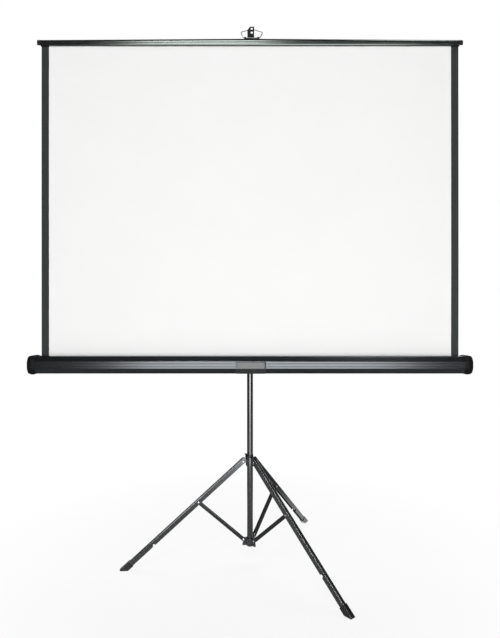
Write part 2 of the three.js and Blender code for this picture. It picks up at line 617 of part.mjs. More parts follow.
// Roller case: slotted shell, end caps that carry the roller, and the grip on its front
function makeCase() {
  const atRoller = (geometry) => geometry.translate(0, rollerY, ROLLER_AXIS_HEIGHT);
  const outline = caseOutline();
  const section = outlineShape(outline);
  section.holes.push(outlineShape(grown(outline, -CASE_WALL)));
  const slot = box(3 * capOuter, CASE_SLOT, 3 * CASE_WALL).translate(0, fabricY - rollerY, CASE_HEIGHT / 2);
  const shell = atRoller(cut(alongX(section, 2 * shellHalf), slot));
  place('case_shell', cut(shell, swivelHole(CASE_WALL + SEAT_GAP).translate(0, caseBack, 0)), darkPaint);

  const lipAt = capInner + END_CAP_FLARE;
  const domed = (turn) => grown(outline, END_CAP_LIP - END_CAP_DROP * (1 - Math.cos(turn)));
  const domeAt = (turn) => lipAt + (capOuter - lipAt) * Math.sin(turn);
  const turns = [0, 1, 2, 3].map((i) => i * Math.PI / 6);
  const capSkin = loftAlongX([
    { x: capInner, outline: grown(outline, END_CAP_MOUTH) },
    ...turns.map((turn) => ({ x: domeAt(turn), outline: domed(turn) })),
  ]);
  const pocketLength = shellHalf + SEAT_GAP - capInner;
  const pocket = alongX(outlineShape(grown(outline, SEAT_GAP)), 2 * pocketLength).translate(capInner, 0, 0);
  const bearing = alongX(disc(GUDGEON_RADIUS + PIN_GAP), 2 * (pocketLength + GUDGEON_DEPTH + SEAT_GAP))
    .translate(capInner, 0, 0);
  const cap = atRoller(cut(capSkin, pocket, bearing));
  place('case_cap_right', cap, blackPlastic);
  place('case_cap_left', mirroredInX(cap), blackPlastic);
  place('carry_grip', atRoller(gripSkin(outline)), blackPlastic).position.x = GRIP_SHIFT;
}

// Moulded grip that hugs the middle and lower front facets and thins out towards its ends
function gripSkin(outline) {
  const hug = (distance) => {
    const around = grown(outline, distance);
    const [lowerFront, frontTop, frontFoot] = [around[0], around[6], around[7]];
    return [frontTop, frontFoot, lowerFront];
  };
  const inner = hug(SEAT_GAP);
  const station = (x, thickness) => {
    const outer = hug(SEAT_GAP + thickness);
    outer[0] = [outer[0][0], inner[0][1] - GRIP_EDGE];
    outer[2] = [outer[2][0] - GRIP_EDGE, outer[2][1]];
    return { x, outline: [...inner.toReversed(), ...outer] };
  };
  const swell = GRIP_THICKNESS - GRIP_END_THICKNESS;
  const rings = Array.from({ length: GRIP_RINGS }, (_, i) => {
    const share = -Math.cos(Math.PI * i / (GRIP_RINGS - 1));
    return station(share * GRIP_LENGTH / 2, GRIP_END_THICKNESS + swell * Math.sqrt(1 - share ** 4));
  });
  return loftAlongX(rings);
}

// Spring roller inside the case
function makeRoller() {
  const bore = ROLLER_RADIUS - ROLLER_WALL;
  const axis = new THREE.Group();
  axis.name = 'roller_axis';
  axis.position.set(0, rollerY, ROLLER_AXIS_HEIGHT);
  group.add(axis);
  place('roller_tube', alongX(disc(ROLLER_RADIUS, bore), 2 * rollerHalf), steelTube, axis);
  place('fabric_roll', alongX(disc(ROLL_RADIUS, ROLLER_RADIUS + SEAT_GAP), fabricWidth), whiteFabric, axis);
  const plugRadius = bore - SEAT_GAP;
  const plugMiddle = rollerHalf - ROLLER_PLUG_LENGTH / 2;
  const tipReach = shellHalf + SEAT_GAP + GUDGEON_DEPTH;
  const gudgeonLength = tipReach - plugMiddle;
  place('roller_plug_left', join(
    alongX(disc(plugRadius), ROLLER_PLUG_LENGTH).translate(-plugMiddle, 0, 0),
    alongX(disc(GUDGEON_RADIUS), gudgeonLength).translate(-between(plugMiddle, tipReach), 0, 0),
  ), paleNylon, axis);
  const plugRing = disc(plugRadius, GUDGEON_RADIUS + RUN_GAP);
  place('roller_plug_right', alongX(plugRing, ROLLER_PLUG_LENGTH), paleNylon, axis).position.x = plugMiddle;
  const springEnd = rollerHalf - ROLLER_PLUG_LENGTH - RUN_GAP;
  const springMiddle = springEnd - SPRING_LENGTH / 2;
  const spearInner = springEnd - SPRING_LENGTH;
  const spear = alongX(disc(GUDGEON_RADIUS), tipReach - spearInner);
  place('roller_spear', spear, brightZinc, axis).position.x = between(spearInner, tipReach);
  const spring = alongX(disc(SPRING_RADIUS, GUDGEON_RADIUS + SEAT_GAP), SPRING_LENGTH);
  place('roller_spring', spring, steelTube, axis).position.x = springMiddle;
}

// Screen fabric: from the back of the roll, through the slot, up into the slat
function makeFabric() {
  const top = slatFoot + SLAT_WALL - SEAT_GAP;
  const sheet = box(fabricWidth, FABRIC_THICKNESS, top - ROLLER_AXIS_HEIGHT);
  place('screen_fabric', sheet, whiteFabric).position.set(0, fabricY, between(ROLLER_AXIS_HEIGHT, top));
}

// Slat section in (y, z) about the fabric plane and its underside, anticlockwise
function slatOutline() {
  const half = SLAT_DEPTH / 2;
  const foot = SLAT_FOOT / 2;
  const grooveTop = SLAT_GROOVE_HEIGHT + SLAT_GROOVE_WIDTH;
  return [
    [-foot, 0],
    [foot, 0],
    [half, SLAT_FOOT_RISE],
    [half, SLAT_HEIGHT - SLAT_TOP_CHAMFER],
    [half - SLAT_TOP_CHAMFER, SLAT_HEIGHT],
    [SLAT_TOP_CHAMFER - half, SLAT_HEIGHT],
    [-half, SLAT_HEIGHT - SLAT_TOP_CHAMFER],
    [-half, grooveTop],
    [SLAT_GROOVE - half, grooveTop - SLAT_GROOVE],
    [SLAT_GROOVE - half, SLAT_GROOVE_HEIGHT + SLAT_GROOVE],
    [-half, SLAT_GROOVE_HEIGHT],
    [-half, SLAT_FOOT_RISE],
  ];
}

// Top slat with its end caps and the dowel that holds the fabric hem
function makeSlat() {
  const atSlat = (geometry) => geometry.translate(0, fabricY, slatFoot);
  const outline = slatOutline();
  const capInside = fabricWidth / 2 + RUN_GAP;
  const capOutside = capInside + SLAT_CAP;
  const tubeHalf = capOutside - SLAT_CAP_WALL - SEAT_GAP;
  const section = outlineShape(outline);
  section.holes.push(outlineShape(grown(outline, -SLAT_WALL)));
  const slot = box(3 * capOutside, SLAT_SLOT, 3 * SLAT_WALL);
  place('slat_tube', atSlat(cut(alongX(section, 2 * tubeHalf), slot)), darkPaint);
  const skin = alongX(outlineShape(grown(outline, SEAT_GAP + SLAT_CAP_LIP)), SLAT_CAP)
    .translate(between(capInside, capOutside), 0, 0);
  const pocketLength = tubeHalf + SEAT_GAP - capInside;
  const pocket = alongX(outlineShape(grown(outline, SEAT_GAP)), 2 * pocketLength).translate(capInside, 0, 0);
  const cap = atSlat(cut(skin, pocket));
  place('slat_cap_right', cap, blackPlastic);
  place('slat_cap_left', mirroredInX(cap), blackPlastic);
  const dowel = place('hem_dowel', alongX(disc(DOWEL_RADIUS), fabricWidth), paleNylon);
  dowel.position.set(0, fabricY, dowelHeight);
}

// Saddle on the slat and the wire bail that turns in its rolled ends; the wire's own ends meet midway
function makeBail() {
  const barrelAt = BAIL_FOOT - WIRE_RADIUS - PIN_GAP - SADDLE_BARREL / 2;
  const plateLength = 2 * (barrelAt + SADDLE_BARREL / 2);
  const plate = box(plateLength, SADDLE_DEPTH, SADDLE_THICKNESS);
  plate.translate(0, 0, saddleTop - SADDLE_THICKNESS / 2);
  const barrels = [-barrelAt, barrelAt].map((x) => (
    alongX(disc(barrelRadius), SADDLE_BARREL, PIN_STEPS).translate(x, 0, bailFoot)
  ));
  const wireHole = alongX(disc(WIRE_RADIUS + PIN_GAP), 2 * plateLength, PIN_STEPS).translate(0, 0, bailFoot);
  const saddle = place('bail_saddle', cut(join(plate, ...barrels), wireHole), darkPaint);
  saddle.position.set(HANG_SHIFT, fabricY, 0);

  const rightHalf = [
    [RUN_GAP, 0],
    [barrelAt, 0],
    [BAIL_FOOT - WIRE_RADIUS, 0],
    [BAIL_FOOT + 2 * WIRE_RADIUS, 2 * WIRE_RADIUS],
    [BAIL_SHOULDER - WIRE_RADIUS, BAIL_SHOULDER_HEIGHT / 2],
    [BAIL_SHOULDER, BAIL_SHOULDER_HEIGHT],
    [BAIL_SHOULDER - 2 * WIRE_RADIUS, BAIL_CORNER_HEIGHT],
    [BAIL_SHOULDER / 2, between(BAIL_CORNER_HEIGHT, BAIL_PEAK_HEIGHT)],
    [HOOK_WINDOW_WIDTH, BAIL_PEAK_HEIGHT],
  ];
  const leftHalf = rightHalf.toReversed().map(([x, z]) => [-x, z]);
  const path = [...rightHalf, ...leftHalf].map(([x, z]) => new THREE.Vector3(x, 0, z));
  const route = new THREE.CatmullRomCurve3(path, false, 'centripetal');
  const section = new THREE.Shape().absarc(0, 0, WIRE_RADIUS, 0, 2 * Math.PI, false);
  const settings = { steps: 4 * path.length, extrudePath: route, curveSegments: 4, bevelEnabled: false };
  const wire = place('bail', new THREE.ExtrudeGeometry(section, settings), brightZinc);
  wire.position.set(HANG_SHIFT, fabricY, bailFoot);
}

// Hook: a bent strip screwed to the top of the rod, with two windows whose tongues hold the bail
function makeHook() {
  const left = HANG_SHIFT - HOOK_LEFT;
  const middle = left + HOOK_WIDTH / 2;
  const footBack = rodRadius;
  const top = hookFoot + HOOK_HEIGHT;
  const back = hookFront + HOOK_THICKNESS;
  const strip = outlineShape([
    [hookFront, hookFoot],
    [footBack, hookFoot],
    [footBack, hookFoot + HOOK_THICKNESS],
    [back, hookFoot + HOOK_THICKNESS],
    [back, top],
    [hookFront, top],
  ]);
  const corner = outlineShape([
    [left - RUN_GAP, top + RUN_GAP],
    [left - RUN_GAP, top - HOOK_CORNER_DROP],
    [left + HOOK_CORNER_CUT, top + RUN_GAP],
  ]);
  const cornerCut = alongY(corner, 4 * HOOK_THICKNESS).translate(0, hookFront, 0);
  const windowAt = (z) => box(HOOK_WINDOW_WIDTH, 4 * HOOK_THICKNESS, HOOK_WINDOW_HEIGHT)
    .translate(HANG_SHIFT, hookFront, z + HOOK_WINDOW_HEIGHT / 2);
  const sills = [tongueTop, tongueTop - HOOK_WINDOW_PITCH];
  const lipFront = fabricY + WIRE_RADIUS + RUN_GAP;
  const tongueAt = (z) => {
    const reach = lipFront + HOOK_TONGUE_THICKNESS - hookFront;
    const tongue = outlineShape([
      [0, z - HOOK_TONGUE_THICKNESS],
      [reach, z - HOOK_TONGUE_THICKNESS],
      [reach, z + HOOK_LIP],
      [reach - HOOK_TONGUE_THICKNESS, z + HOOK_LIP],
      [reach - HOOK_TONGUE_THICKNESS, z],
      [0, z],
    ]);
    return alongX(tongue, HOOK_WINDOW_WIDTH).translate(HANG_SHIFT, hookFront, 0);
  };
  const plate = cut(alongX(strip, HOOK_WIDTH).translate(middle, 0, 0), cornerCut, ...sills.map(windowAt));
  const screwHole = upright(HOOK_SCREW_RADIUS + PIN_GAP, 0, hookFoot - RUN_GAP, top);
  place('hook_plate', cut(join(plate, ...sills.map(tongueAt)), screwHole), darkPaint);

  const screwTop = hookFoot + HOOK_THICKNESS + SEAT_GAP;
  const headRadius = 2 * HOOK_SCREW_RADIUS;
  place('hook_screw', join(
    upright(HOOK_SCREW_RADIUS, 0, screwTop - HOOK_SCREW_LENGTH, screwTop + HOOK_SCREW_HEAD / 2),
    upright(headRadius, 0, screwTop, screwTop + HOOK_SCREW_HEAD),
  ), brightZinc);
  const plugHole = upright(HOOK_SCREW_RADIUS + PIN_GAP, 0, screwTop - HOOK_SCREW_LENGTH - SEAT_GAP, top);
  const plug = upright(rodBore - SEAT_GAP, 0, rodTop - ROD_PLUG_STEM, rodTop);
  place('rod_plug', cut(plug, plugHole), blackPlastic);
}

// Extension rod and the foot that guides it inside the pole
function makeRod() {
  const rodFoot = POLE_TOP - ROD_OVERLAP;
  place('extension_rod', upright(rodRadius, rodBore, rodFoot, rodTop), steelTube);
  const footTop = rodFoot - SEAT_GAP;
  place('rod_foot', join(
    upright(poleBore - SEAT_GAP, 0, footTop - ROD_FOOT, footTop),
    upright(rodBore - SEAT_GAP, 0, footTop - ROD_FOOT / 2, footTop + ROD_PLUG_STEM),
  ), paleNylon);
}

makePole();
makeBase();
makeHub();
makeLegs();
makeRodCollar();
makeCarriage();
makeCase();
makeRoller();
makeFabric();
makeSlat();
makeBail();
makeHook();
makeRod();

// The origin lies on the floor, under the middle of the object's box
const extent = new THREE.Box3().setFromObject(group, true);
const centre = extent.getCenter(new THREE.Vector3());
group.position.set(-centre.x, -centre.y, -extent.min.z);

export default group;
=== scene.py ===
import json
import math

import bmesh
import bpy
from mathutils import Matrix, Vector

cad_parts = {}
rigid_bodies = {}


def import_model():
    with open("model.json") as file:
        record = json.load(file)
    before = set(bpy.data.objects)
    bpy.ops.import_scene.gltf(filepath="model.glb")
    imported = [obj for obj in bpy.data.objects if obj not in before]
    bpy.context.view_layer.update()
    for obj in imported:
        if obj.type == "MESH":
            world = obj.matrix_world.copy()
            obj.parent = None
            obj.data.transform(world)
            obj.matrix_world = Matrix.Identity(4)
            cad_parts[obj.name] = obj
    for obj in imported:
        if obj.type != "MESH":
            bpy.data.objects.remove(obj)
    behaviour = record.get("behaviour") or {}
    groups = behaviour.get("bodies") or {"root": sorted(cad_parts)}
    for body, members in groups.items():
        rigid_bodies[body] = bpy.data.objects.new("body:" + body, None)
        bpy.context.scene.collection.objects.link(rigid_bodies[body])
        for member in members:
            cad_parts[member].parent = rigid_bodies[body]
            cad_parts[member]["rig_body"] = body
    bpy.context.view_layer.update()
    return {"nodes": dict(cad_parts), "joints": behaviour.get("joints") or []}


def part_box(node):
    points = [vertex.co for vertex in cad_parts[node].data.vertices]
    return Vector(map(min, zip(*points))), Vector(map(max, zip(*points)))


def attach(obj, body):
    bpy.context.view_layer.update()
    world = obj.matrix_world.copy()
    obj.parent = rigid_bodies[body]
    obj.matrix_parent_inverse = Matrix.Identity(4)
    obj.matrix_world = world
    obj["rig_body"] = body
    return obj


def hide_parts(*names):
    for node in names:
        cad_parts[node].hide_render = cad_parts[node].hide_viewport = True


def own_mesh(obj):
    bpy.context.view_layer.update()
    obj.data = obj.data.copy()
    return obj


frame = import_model()

# Viewpoint: the screen stands square to the viewer, seen from two metres in front of its pole,
# with the lens level and a little above the roller case.
VIEW_DISTANCE = 2.075
VIEW_HEIGHT = 0.993
FOCAL_PIXELS = 510
LONG_SIDE_PIXELS = 638
pole_low, pole_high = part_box("pole_tube")
pole_axis = (pole_low + pole_high) / 2
camera = bpy.data.objects.new("camera", bpy.data.cameras.new("camera"))
bpy.context.scene.collection.objects.link(camera)
camera.data.lens = camera.data.sensor_width * FOCAL_PIXELS / LONG_SIDE_PIXELS
camera.location = (pole_axis.x, pole_axis.y - VIEW_DISTANCE, VIEW_HEIGHT)
camera.rotation_euler = (math.pi / 2, 0, 0)
bpy.context.scene.camera = camera


# Pole: a drawn steel tube, painted satin charcoal, with a moulded plug in its foot and a pressed
# ring that stops the sliding hub. The paint wears through on the edges that hands and floor meet.
class Shade:
    """A shader socket that takes part in sums: each operator adds one Math node."""

    def __init__(self, tree, socket=None):
        self.tree = tree
        self.socket = socket

    def node(self, kind, settings=None, values=None, output=0):
        """Adds a node, sets its settings and then its sockets, and gives one of its outputs."""
        made = self.tree.nodes.new("ShaderNode" + kind)
        for name, value in (settings or {}).items():
            setattr(made, name, value)
        for name, value in (values or {}).items():
            if isinstance(value, Shade):
                self.tree.links.new(value.socket, made.inputs[name])
            else:
                made.inputs[name].default_value = value
        return Shade(self.tree, made.outputs[output])

    def math(self, operation, first, second):
        return self.node("Math", {"operation": operation}, {0: first, 1: second})

    def __add__(self, other):
        return self.math("ADD", self, other)

    def __radd__(self, other):
        return self.math("ADD", other, self)

    def __sub__(self, other):
        return self.math("SUBTRACT", self, other)

    def __rsub__(self, other):
        return self.math("SUBTRACT", other, self)

    def __mul__(self, other):
        return self.math("MULTIPLY", self, other)

    def __rmul__(self, other):
        return self.math("MULTIPLY", other, self)

    def ramp(self, low, high):
        """Rises smoothly from 0 to 1 as the value goes from low to high."""
        limits = {"Value": self, "From Min": low, "From Max": high}
        return self.node("MapRange", {"interpolation_type": "SMOOTHSTEP"}, limits)

    def tint(self, at_none, at_full):
        """Colour between two colours, with this value as the share of the second."""
        return self.node("Mix", {"data_type": "RGBA"}, {"Factor": self, 6: at_none, 7: at_full}, 2)

    def feed(self, shader, name):
        self.tree.links.new(self.socket, shader.inputs[name])


def grey(value, blue=0.0):
    """Neutral colour, or a slightly cold one."""
    return (value * (1 - blue), value, value * (1 + blue), 1)


def new_finish(name, **constants):
    """A material, its shader with the sockets that are the same all over, and a place to start sums."""
    material = bpy.data.materials.new(name)
    material.use_nodes = True
    shader = material.node_tree.nodes["Principled BSDF"]
    for socket, value in constants.items():
        shader.inputs[socket.replace("_", " ")].default_value = value
    return material, shader, Shade(material.node_tree)


def noise(start, where, scale, detail):
    return start.node("TexNoise", None, {"Vector": where, "Scale": scale, "Detail": detail})


def relief(start, height, depth):
    """Surface normal of a height that goes from 0 to 1, with depth in metres."""
    return start.node("Bump", None, {"Height": height, "Distance": depth, "Strength": 1.0}, "Normal")


def baked_paint(name, colour, roughness, flake, wear, stretch=1.0, **coat):
    """Metallic lacquer: soft mottle, fine orange peel, and edges rubbed towards bare metal."""
    material, shader, start = new_finish(name, Metallic=flake, Specular_Tint=SHEEN, **coat)
    place = start.node("TexCoord", output="Object")
    drawn = start.node("Mapping", None, {"Vector": place, "Scale": (stretch, 1, 1)}, "Vector")
    mottle = noise(start, drawn, 9.0, 3.0)
    peel = noise(start, drawn, 700.0, 1.0)
    softened = start.node("Bevel", {"samples": 4}, {"Radius": 0.0012})
    facing = start.node("NewGeometry", output="Normal")
    agreement = start.node("VectorMath", {"operation": "DOT_PRODUCT"}, {0: softened, 1: facing}, "Value")
    chips = noise(start, place, 170.0, 4.0).ramp(0.42, 0.6)
    rubbed = (1 - agreement).ramp(0.12, 0.35) * chips * wear
    deep = tuple(0.8 * part for part in colour[:3]) + (1,)
    rubbed.tint(mottle.tint(deep, colour), grey(0.3)).feed(shader, "Base Color")
    (roughness - 0.05 + mottle * 0.1 + rubbed * 0.1).feed(shader, "Roughness")
    relief(start, peel, 0.00002).feed(shader, "Normal")
    return material


def moulded_plastic(name, colour, roughness, gloss=0.45):
    """Spark-eroded moulding: fine even grain with faint flow marks."""
    material, shader, start = new_finish(name, Specular_IOR_Level=gloss)
    place = start.node("TexCoord", output="Object")
    flow = noise(start, place, 14.0, 4.0)
    grain = noise(start, place, 1500.0, 2.0)
    pale = tuple(1.25 * part for part in colour[:3]) + (1,)
    flow.tint(colour, pale).feed(shader, "Base Color")
    (roughness - 0.06 + flow * 0.12 + grain * 0.06).feed(shader, "Roughness")
    relief(start, grain, 0.00005).feed(shader, "Normal")
    return material


def loft(rings, closed=False):
    """Skin over rings of as many points each; the ends are capped, or joined where it is closed."""
    shape = bmesh.new()
    made = [[shape.verts.new(point) for point in ring] for ring in rings]
    spans = list(zip(made, made[1:])) + ([(made[-1], made[0])] if closed else [])
    for ring, following in spans:
        for i in range(len(ring)):
            j = (i + 1) % len(ring)
            shape.faces.new((ring[i], ring[j], following[j], following[i]))
    if not closed:
        shape.faces.new(made[0])
        shape.faces.new(made[-1])
    return shape


def turned(profile, closed=False, steps=64):
    """Solid turned about Z from (radius, height) points."""
    angles = [2 * math.pi * i / steps for i in range(steps)]
    return loft([[(r * math.cos(a), r * math.sin(a), z) for a in angles] for r, z in profile], closed)


def tube(radius, bore, low, high):
    """Round tube between two heights with its four rims eased."""
    edge = TUBE_RIM
    return turned([
        (radius, low + edge), (radius, high - edge), (radius - edge, high), (bore + edge, high),
        (bore, high - edge), (bore, low + edge), (bore + edge, low), (radius - edge, low),
    ], closed=True)


def add_piece(name, shape, material, node, crease=35, at=Matrix.Identity(4), broad=0.0003):
    """Makes a mesh piece that stands for a CAD node and rides on its body; broad faces stay flat."""
    shape.transform(at)
    bmesh.ops.recalc_face_normals(shape, faces=shape.faces)
    mesh = bpy.data.meshes.new(name)
    shape.to_mesh(mesh)
    shape.free()
    mesh.shade_smooth()
    mesh.set_sharp_from_angle(angle=math.radians(crease))
    for face in mesh.polygons:
        longest = max(math.dist(mesh.vertices[a].co, mesh.vertices[b].co) for a, b in face.edge_keys)
        face.use_smooth = face.area < broad or face.area < FLAT_WIDTH * longest
    mesh.materials.append(material)
    piece = bpy.data.objects.new(name, mesh)
    bpy.context.scene.collection.objects.link(piece)
    flats = piece.modifiers.new("flats", "WEIGHTED_NORMAL")
    flats.keep_sharp = True
    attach(piece, frame["nodes"][node]["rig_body"])
    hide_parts(node)
    return piece


def sharp(edge):
    return len(edge.link_faces) == 2 and edge.calc_face_angle() > SHARP_EDGE


def fold_over(shape, bend, shortest):
    """Rounds the long outer edges between wide faces; a cut beside each keeps its bend even."""
    folds = []
    for edge in shape.edges:
        length = edge.calc_length()
        if length > shortest and sharp(edge) and edge.is_convex:
            if min(face.calc_area() for face in edge.link_faces) > FOLD_FACE * bend * length:
                folds.append(edge)
    sides = [(fold.verts[0].co.copy(), face.normal.copy()) for fold in folds for face in fold.link_faces]
    for corner, across in sides:
        whole = [*shape.verts, *shape.edges, *shape.faces]
        cut = corner - FOLD_CUT * bend * across
        bmesh.ops.bisect_plane(shape, geom=whole, plane_co=cut, plane_no=across)
    beside = [edge for fold in folds for end in fold.verts for edge in end.link_edges]
    flat = [edge for edge in beside if edge.calc_face_angle(math.pi) < FLAT_EDGE]
    bmesh.ops.dissolve_edges(shape, edges=list(dict.fromkeys(flat)))
    bmesh.ops.bevel(shape, geom=folds, offset=bend, segments=FOLD_STEPS, profile=0.5, affect="EDGES")


def eased(node, material, edge, bend=0.0, shortest=0.0):
    """Copy of a CAD node with its sharp edges eased, and its long outer edges folded to a bend."""
    shape = bmesh.new()
    shape.from_mesh(frame["nodes"][node].data)
    bmesh.ops.remove_doubles(shape, verts=shape.verts, dist=1e-6)
    bmesh.ops.dissolve_limit(shape, angle_limit=FLAT_EDGE, verts=shape.verts, edges=shape.edges)
    if bend:
        fold_over(shape, bend, shortest)
    rims = [e for e in shape.edges if sharp(e)]
    ways = {"segments": RIM_STEPS, "profile": 0.5, "affect": "EDGES", "clamp_overlap": True}
    bmesh.ops.bevel(shape, geom=rims, offset=edge, **ways)
    add_piece(f"{node}.eased", shape, material, node)


def dress(material, *nodes):
    """Gives a finish to pieces whose CAD form is kept as it is."""
    for node in nodes:
        frame["nodes"][node].data.materials.clear()
        frame["nodes"][node].data.materials.append(material)


POLE_WALL = 0.0014
TUBE_RIM = 0.0004
FLAT_WIDTH = 0.003
FLAT_EDGE = math.radians(1)
SHARP_EDGE = math.radians(50)
FOLD_STEPS = 6
FOLD_FACE = 1.2
FOLD_CUT = 1.05
RIM_STEPS = 2
SHEEN = (0.3, 0.3, 0.3, 1)
CLEAR_COAT = {"Coat_Weight": 1.0, "Coat_Roughness": 0.12, "Coat_IOR": 1.7}
stand_paint = baked_paint("stand_paint", grey(0.1, 0.06), 0.23, 0.85, 0.04, **CLEAR_COAT)
black_plastic = moulded_plastic("black_plastic", grey(0.009, 0.04), 0.44, 0.3)
pole_radius = (pole_high.x - pole_low.x) / 2
pole_shape = tube(pole_radius, pole_radius - POLE_WALL, pole_low.z, pole_high.z)
pole_place = Matrix.Translation((pole_axis.x, pole_axis.y, 0))
add_piece("pole", pole_shape, stand_paint, "pole_tube", at=pole_place)
eased("pole_plug", black_plastic, 0.0008)
eased("hub_stop", stand_paint, 0.0006)

# Base bracket and sliding hub: steel castings with an ear for each strut or leg, painted like the
# pole. A split black bush in the hub's top guides it on the pole, open where the latch works. Bright
# zinc rivets with domed heads go through the ears and let the links swing.
BUSH_GAP = 0.0004
BUSH_WALL = 0.001
BUSH_DEPTH = 0.002
BUSH_RISE = 0.0105
BUSH_OPENING = math.radians(80)
BUSH_STEPS = 48
LUG_RISE = 0.0077
PIN_RADIUS = 0.0028
PIN_HEAD_RADIUS = 0.0046
PIN_HEAD = 0.0016
RIVET_STEPS = 32
RIVET_DOME_STEPS = 5
RIVET_TIP = 0.0004


def plated_zinc(name, shine):
    """Zinc plate: cool metal with cloudy passivation and a fine satin; less shine dulls it."""
    material, shader, start = new_finish(name, Metallic=1.0)
    place = start.node("TexCoord", output="Object")
    cloud = noise(start, place, 60.0, 4.0)
    satin = noise(start, place, 900.0, 2.0)
    clear, hazy = grey(0.68 * shine, 0.03), grey(0.55 * shine, -0.06)
    cloud.ramp(0.35, 0.75).tint(clear, hazy).feed(shader, "Base Color")
    (0.4 - 0.2 * shine + cloud * 0.2).feed(shader, "Roughness")
    relief(start, satin, 0.00001).feed(shader, "Normal")
    return material


def bush(low, high, heading):
    """Thin split ring about the pole between two heights, open about one heading."""
    bore = pole_radius + BUSH_GAP
    rings = []
    for i in range(BUSH_STEPS + 1):
        a = heading + BUSH_OPENING / 2 + (2 * math.pi - BUSH_OPENING) * i / BUSH_STEPS
        profile = ((bore, low), (bore + BUSH_WALL, low), (bore + BUSH_WALL, high), (bore, high))
        rings.append([(r * math.cos(a), r * math.sin(a), z) for r, z in profile])
    return loft(rings)


def rivet(shank, head, head_height, length):
    """Solid rivet along Z with a domed head at each end."""
    dome = []
    for i in range(RIVET_DOME_STEPS + 1):
        lift = math.pi / 2 * i / RIVET_DOME_STEPS
        dome.append((head * math.cos(lift) + RIVET_TIP, length / 2 - head_height * (1 - math.sin(lift))))
    upper = [(shank, length / 2 - head_height), *dome]
    lower = [(r, -z) for r, z in reversed(upper)]
    return turned([*lower, *upper], steps=RIVET_STEPS)


joints = {joint["name"]: joint for joint in frame["joints"]}
hub_joints = {"left": "hub_rise", "front": "leg_front_fold", "back": "leg_back_fold"}
zinc = plated_zinc("bright_zinc", 1.0)
for bracket in ("base_bracket", "hub_collar"):
    eased(bracket, stand_paint, 0.0006)
collar_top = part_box("hub_collar")[1].z - LUG_RISE
latch_low, latch_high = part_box("hub_latch")
latch_out = (latch_low + latch_high) / 2 - pole_axis
latch_heading = math.atan2(latch_out.y, latch_out.x)
bush_shape = bush(collar_top - BUSH_DEPTH, collar_top + BUSH_RISE, latch_heading)
add_piece("hub_bush", bush_shape, black_plastic, "hub_collar", at=pole_place)
for side, joint in hub_joints.items():
    across = Vector(joints[joint]["axis"])
    lean = Vector((abs(across.x), abs(across.y), 0))
    spin = across.to_track_quat("Z", "Y").to_matrix().to_4x4()
    for kind in ("base_pin", "hub_pin", "strut_pin"):
        low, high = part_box(f"{kind}_{side}")
        # the box of a pin that lies askew is longer than the pin by the breadth of its heads
        length = lean.dot(high - low) - 4 * PIN_HEAD_RADIUS * lean.x * lean.y
        at = Matrix.Translation((low + high) / 2) @ spin
        shape = rivet(PIN_RADIUS, PIN_HEAD_RADIUS, PIN_HEAD, length)
        add_piece(f"{kind}_{side}.domed", shape, zinc, f"{kind}_{side}", at=at)

# Legs and struts: channels folded from sheet steel, painted like the pole. The struts take a darker
# copy of that paint without its clear coat: painted shade. The legs are notched where they close over
# the base pins, and each stands in a moulded rubber boot.
LEG_BEND = 0.0032
LEG_FOLD_LENGTH = 0.5
STRUT_BEND = 0.0016
STRUT_FOLD_LENGTH = 0.2
SHEET_RIM = 0.0003
BOOT_BEND = 0.003
BOOT_FOLD_LENGTH = 0.04
BOOT_RIM = 0.0012


def dusty_rubber(name):
    """Black rubber with a low gloss that greys with floor dust towards the sole."""
    gloss = {"Coat_Weight": 0.7, "Coat_Roughness": 0.2, "Coat_IOR": 1.7}
    material, shader, start = new_finish(name, Specular_IOR_Level=0.5, **gloss)
    place = start.node("TexCoord", output="Object")
    height = start.node("SeparateXYZ", None, {"Vector": place}, "Z")
    scuff = noise(start, place, 220.0, 5.0)
    dust = (1 - height.ramp(0.0, 0.025)) * scuff.ramp(0.35, 0.7)
    dust.tint(grey(0.006), grey(0.022)).feed(shader, "Base Color")
    (0.24 + scuff * 0.12 + dust * 0.2).feed(shader, "Roughness")
    relief(start, scuff, 0.00004).feed(shader, "Normal")
    return material


boot_rubber = dusty_rubber("boot_rubber")
# Painted shade: the struts' paint is the stand paint made darker and left without its clear coat.
strut_shaded_paint = baked_paint("strut_shaded_paint", grey(0.08, 0.06), 0.25, 0.85, 0.04)
for side in hub_joints:
    eased(f"leg_{side}", stand_paint, SHEET_RIM, LEG_BEND, LEG_FOLD_LENGTH)
    eased(f"strut_{side}", strut_shaded_paint, SHEET_RIM, STRUT_BEND, STRUT_FOLD_LENGTH)
    eased(f"boot_{side}", boot_rubber, BOOT_RIM, BOOT_BEND, BOOT_FOLD_LENGTH)

# Release latch: a small moulded lever that holds the hub where it stands on the pole. It swings on
# a plated steel pin between the two lugs of the hub.
eased("hub_latch", black_plastic, 0.0007)
dress(zinc, "latch_pin")

# Rod collar and case carriage: black mouldings clamped round the pole, each with a hand knob whose
# screw bears on the tube. A swivel plate and one bolt hold the case to the carriage.
KNOB_LOBES = 6
KNOB_LOBE_DEPTH = 0.0016
KNOB_LENGTH = 0.014
KNOB_SCREW_RADIUS = 0.003
KNOB_STEPS = 96
KNOB_EDGE = 0.0022
KNOB_DISH = 0.0012
knob_angles = [2 * math.pi * i / KNOB_STEPS for i in range(KNOB_STEPS)]


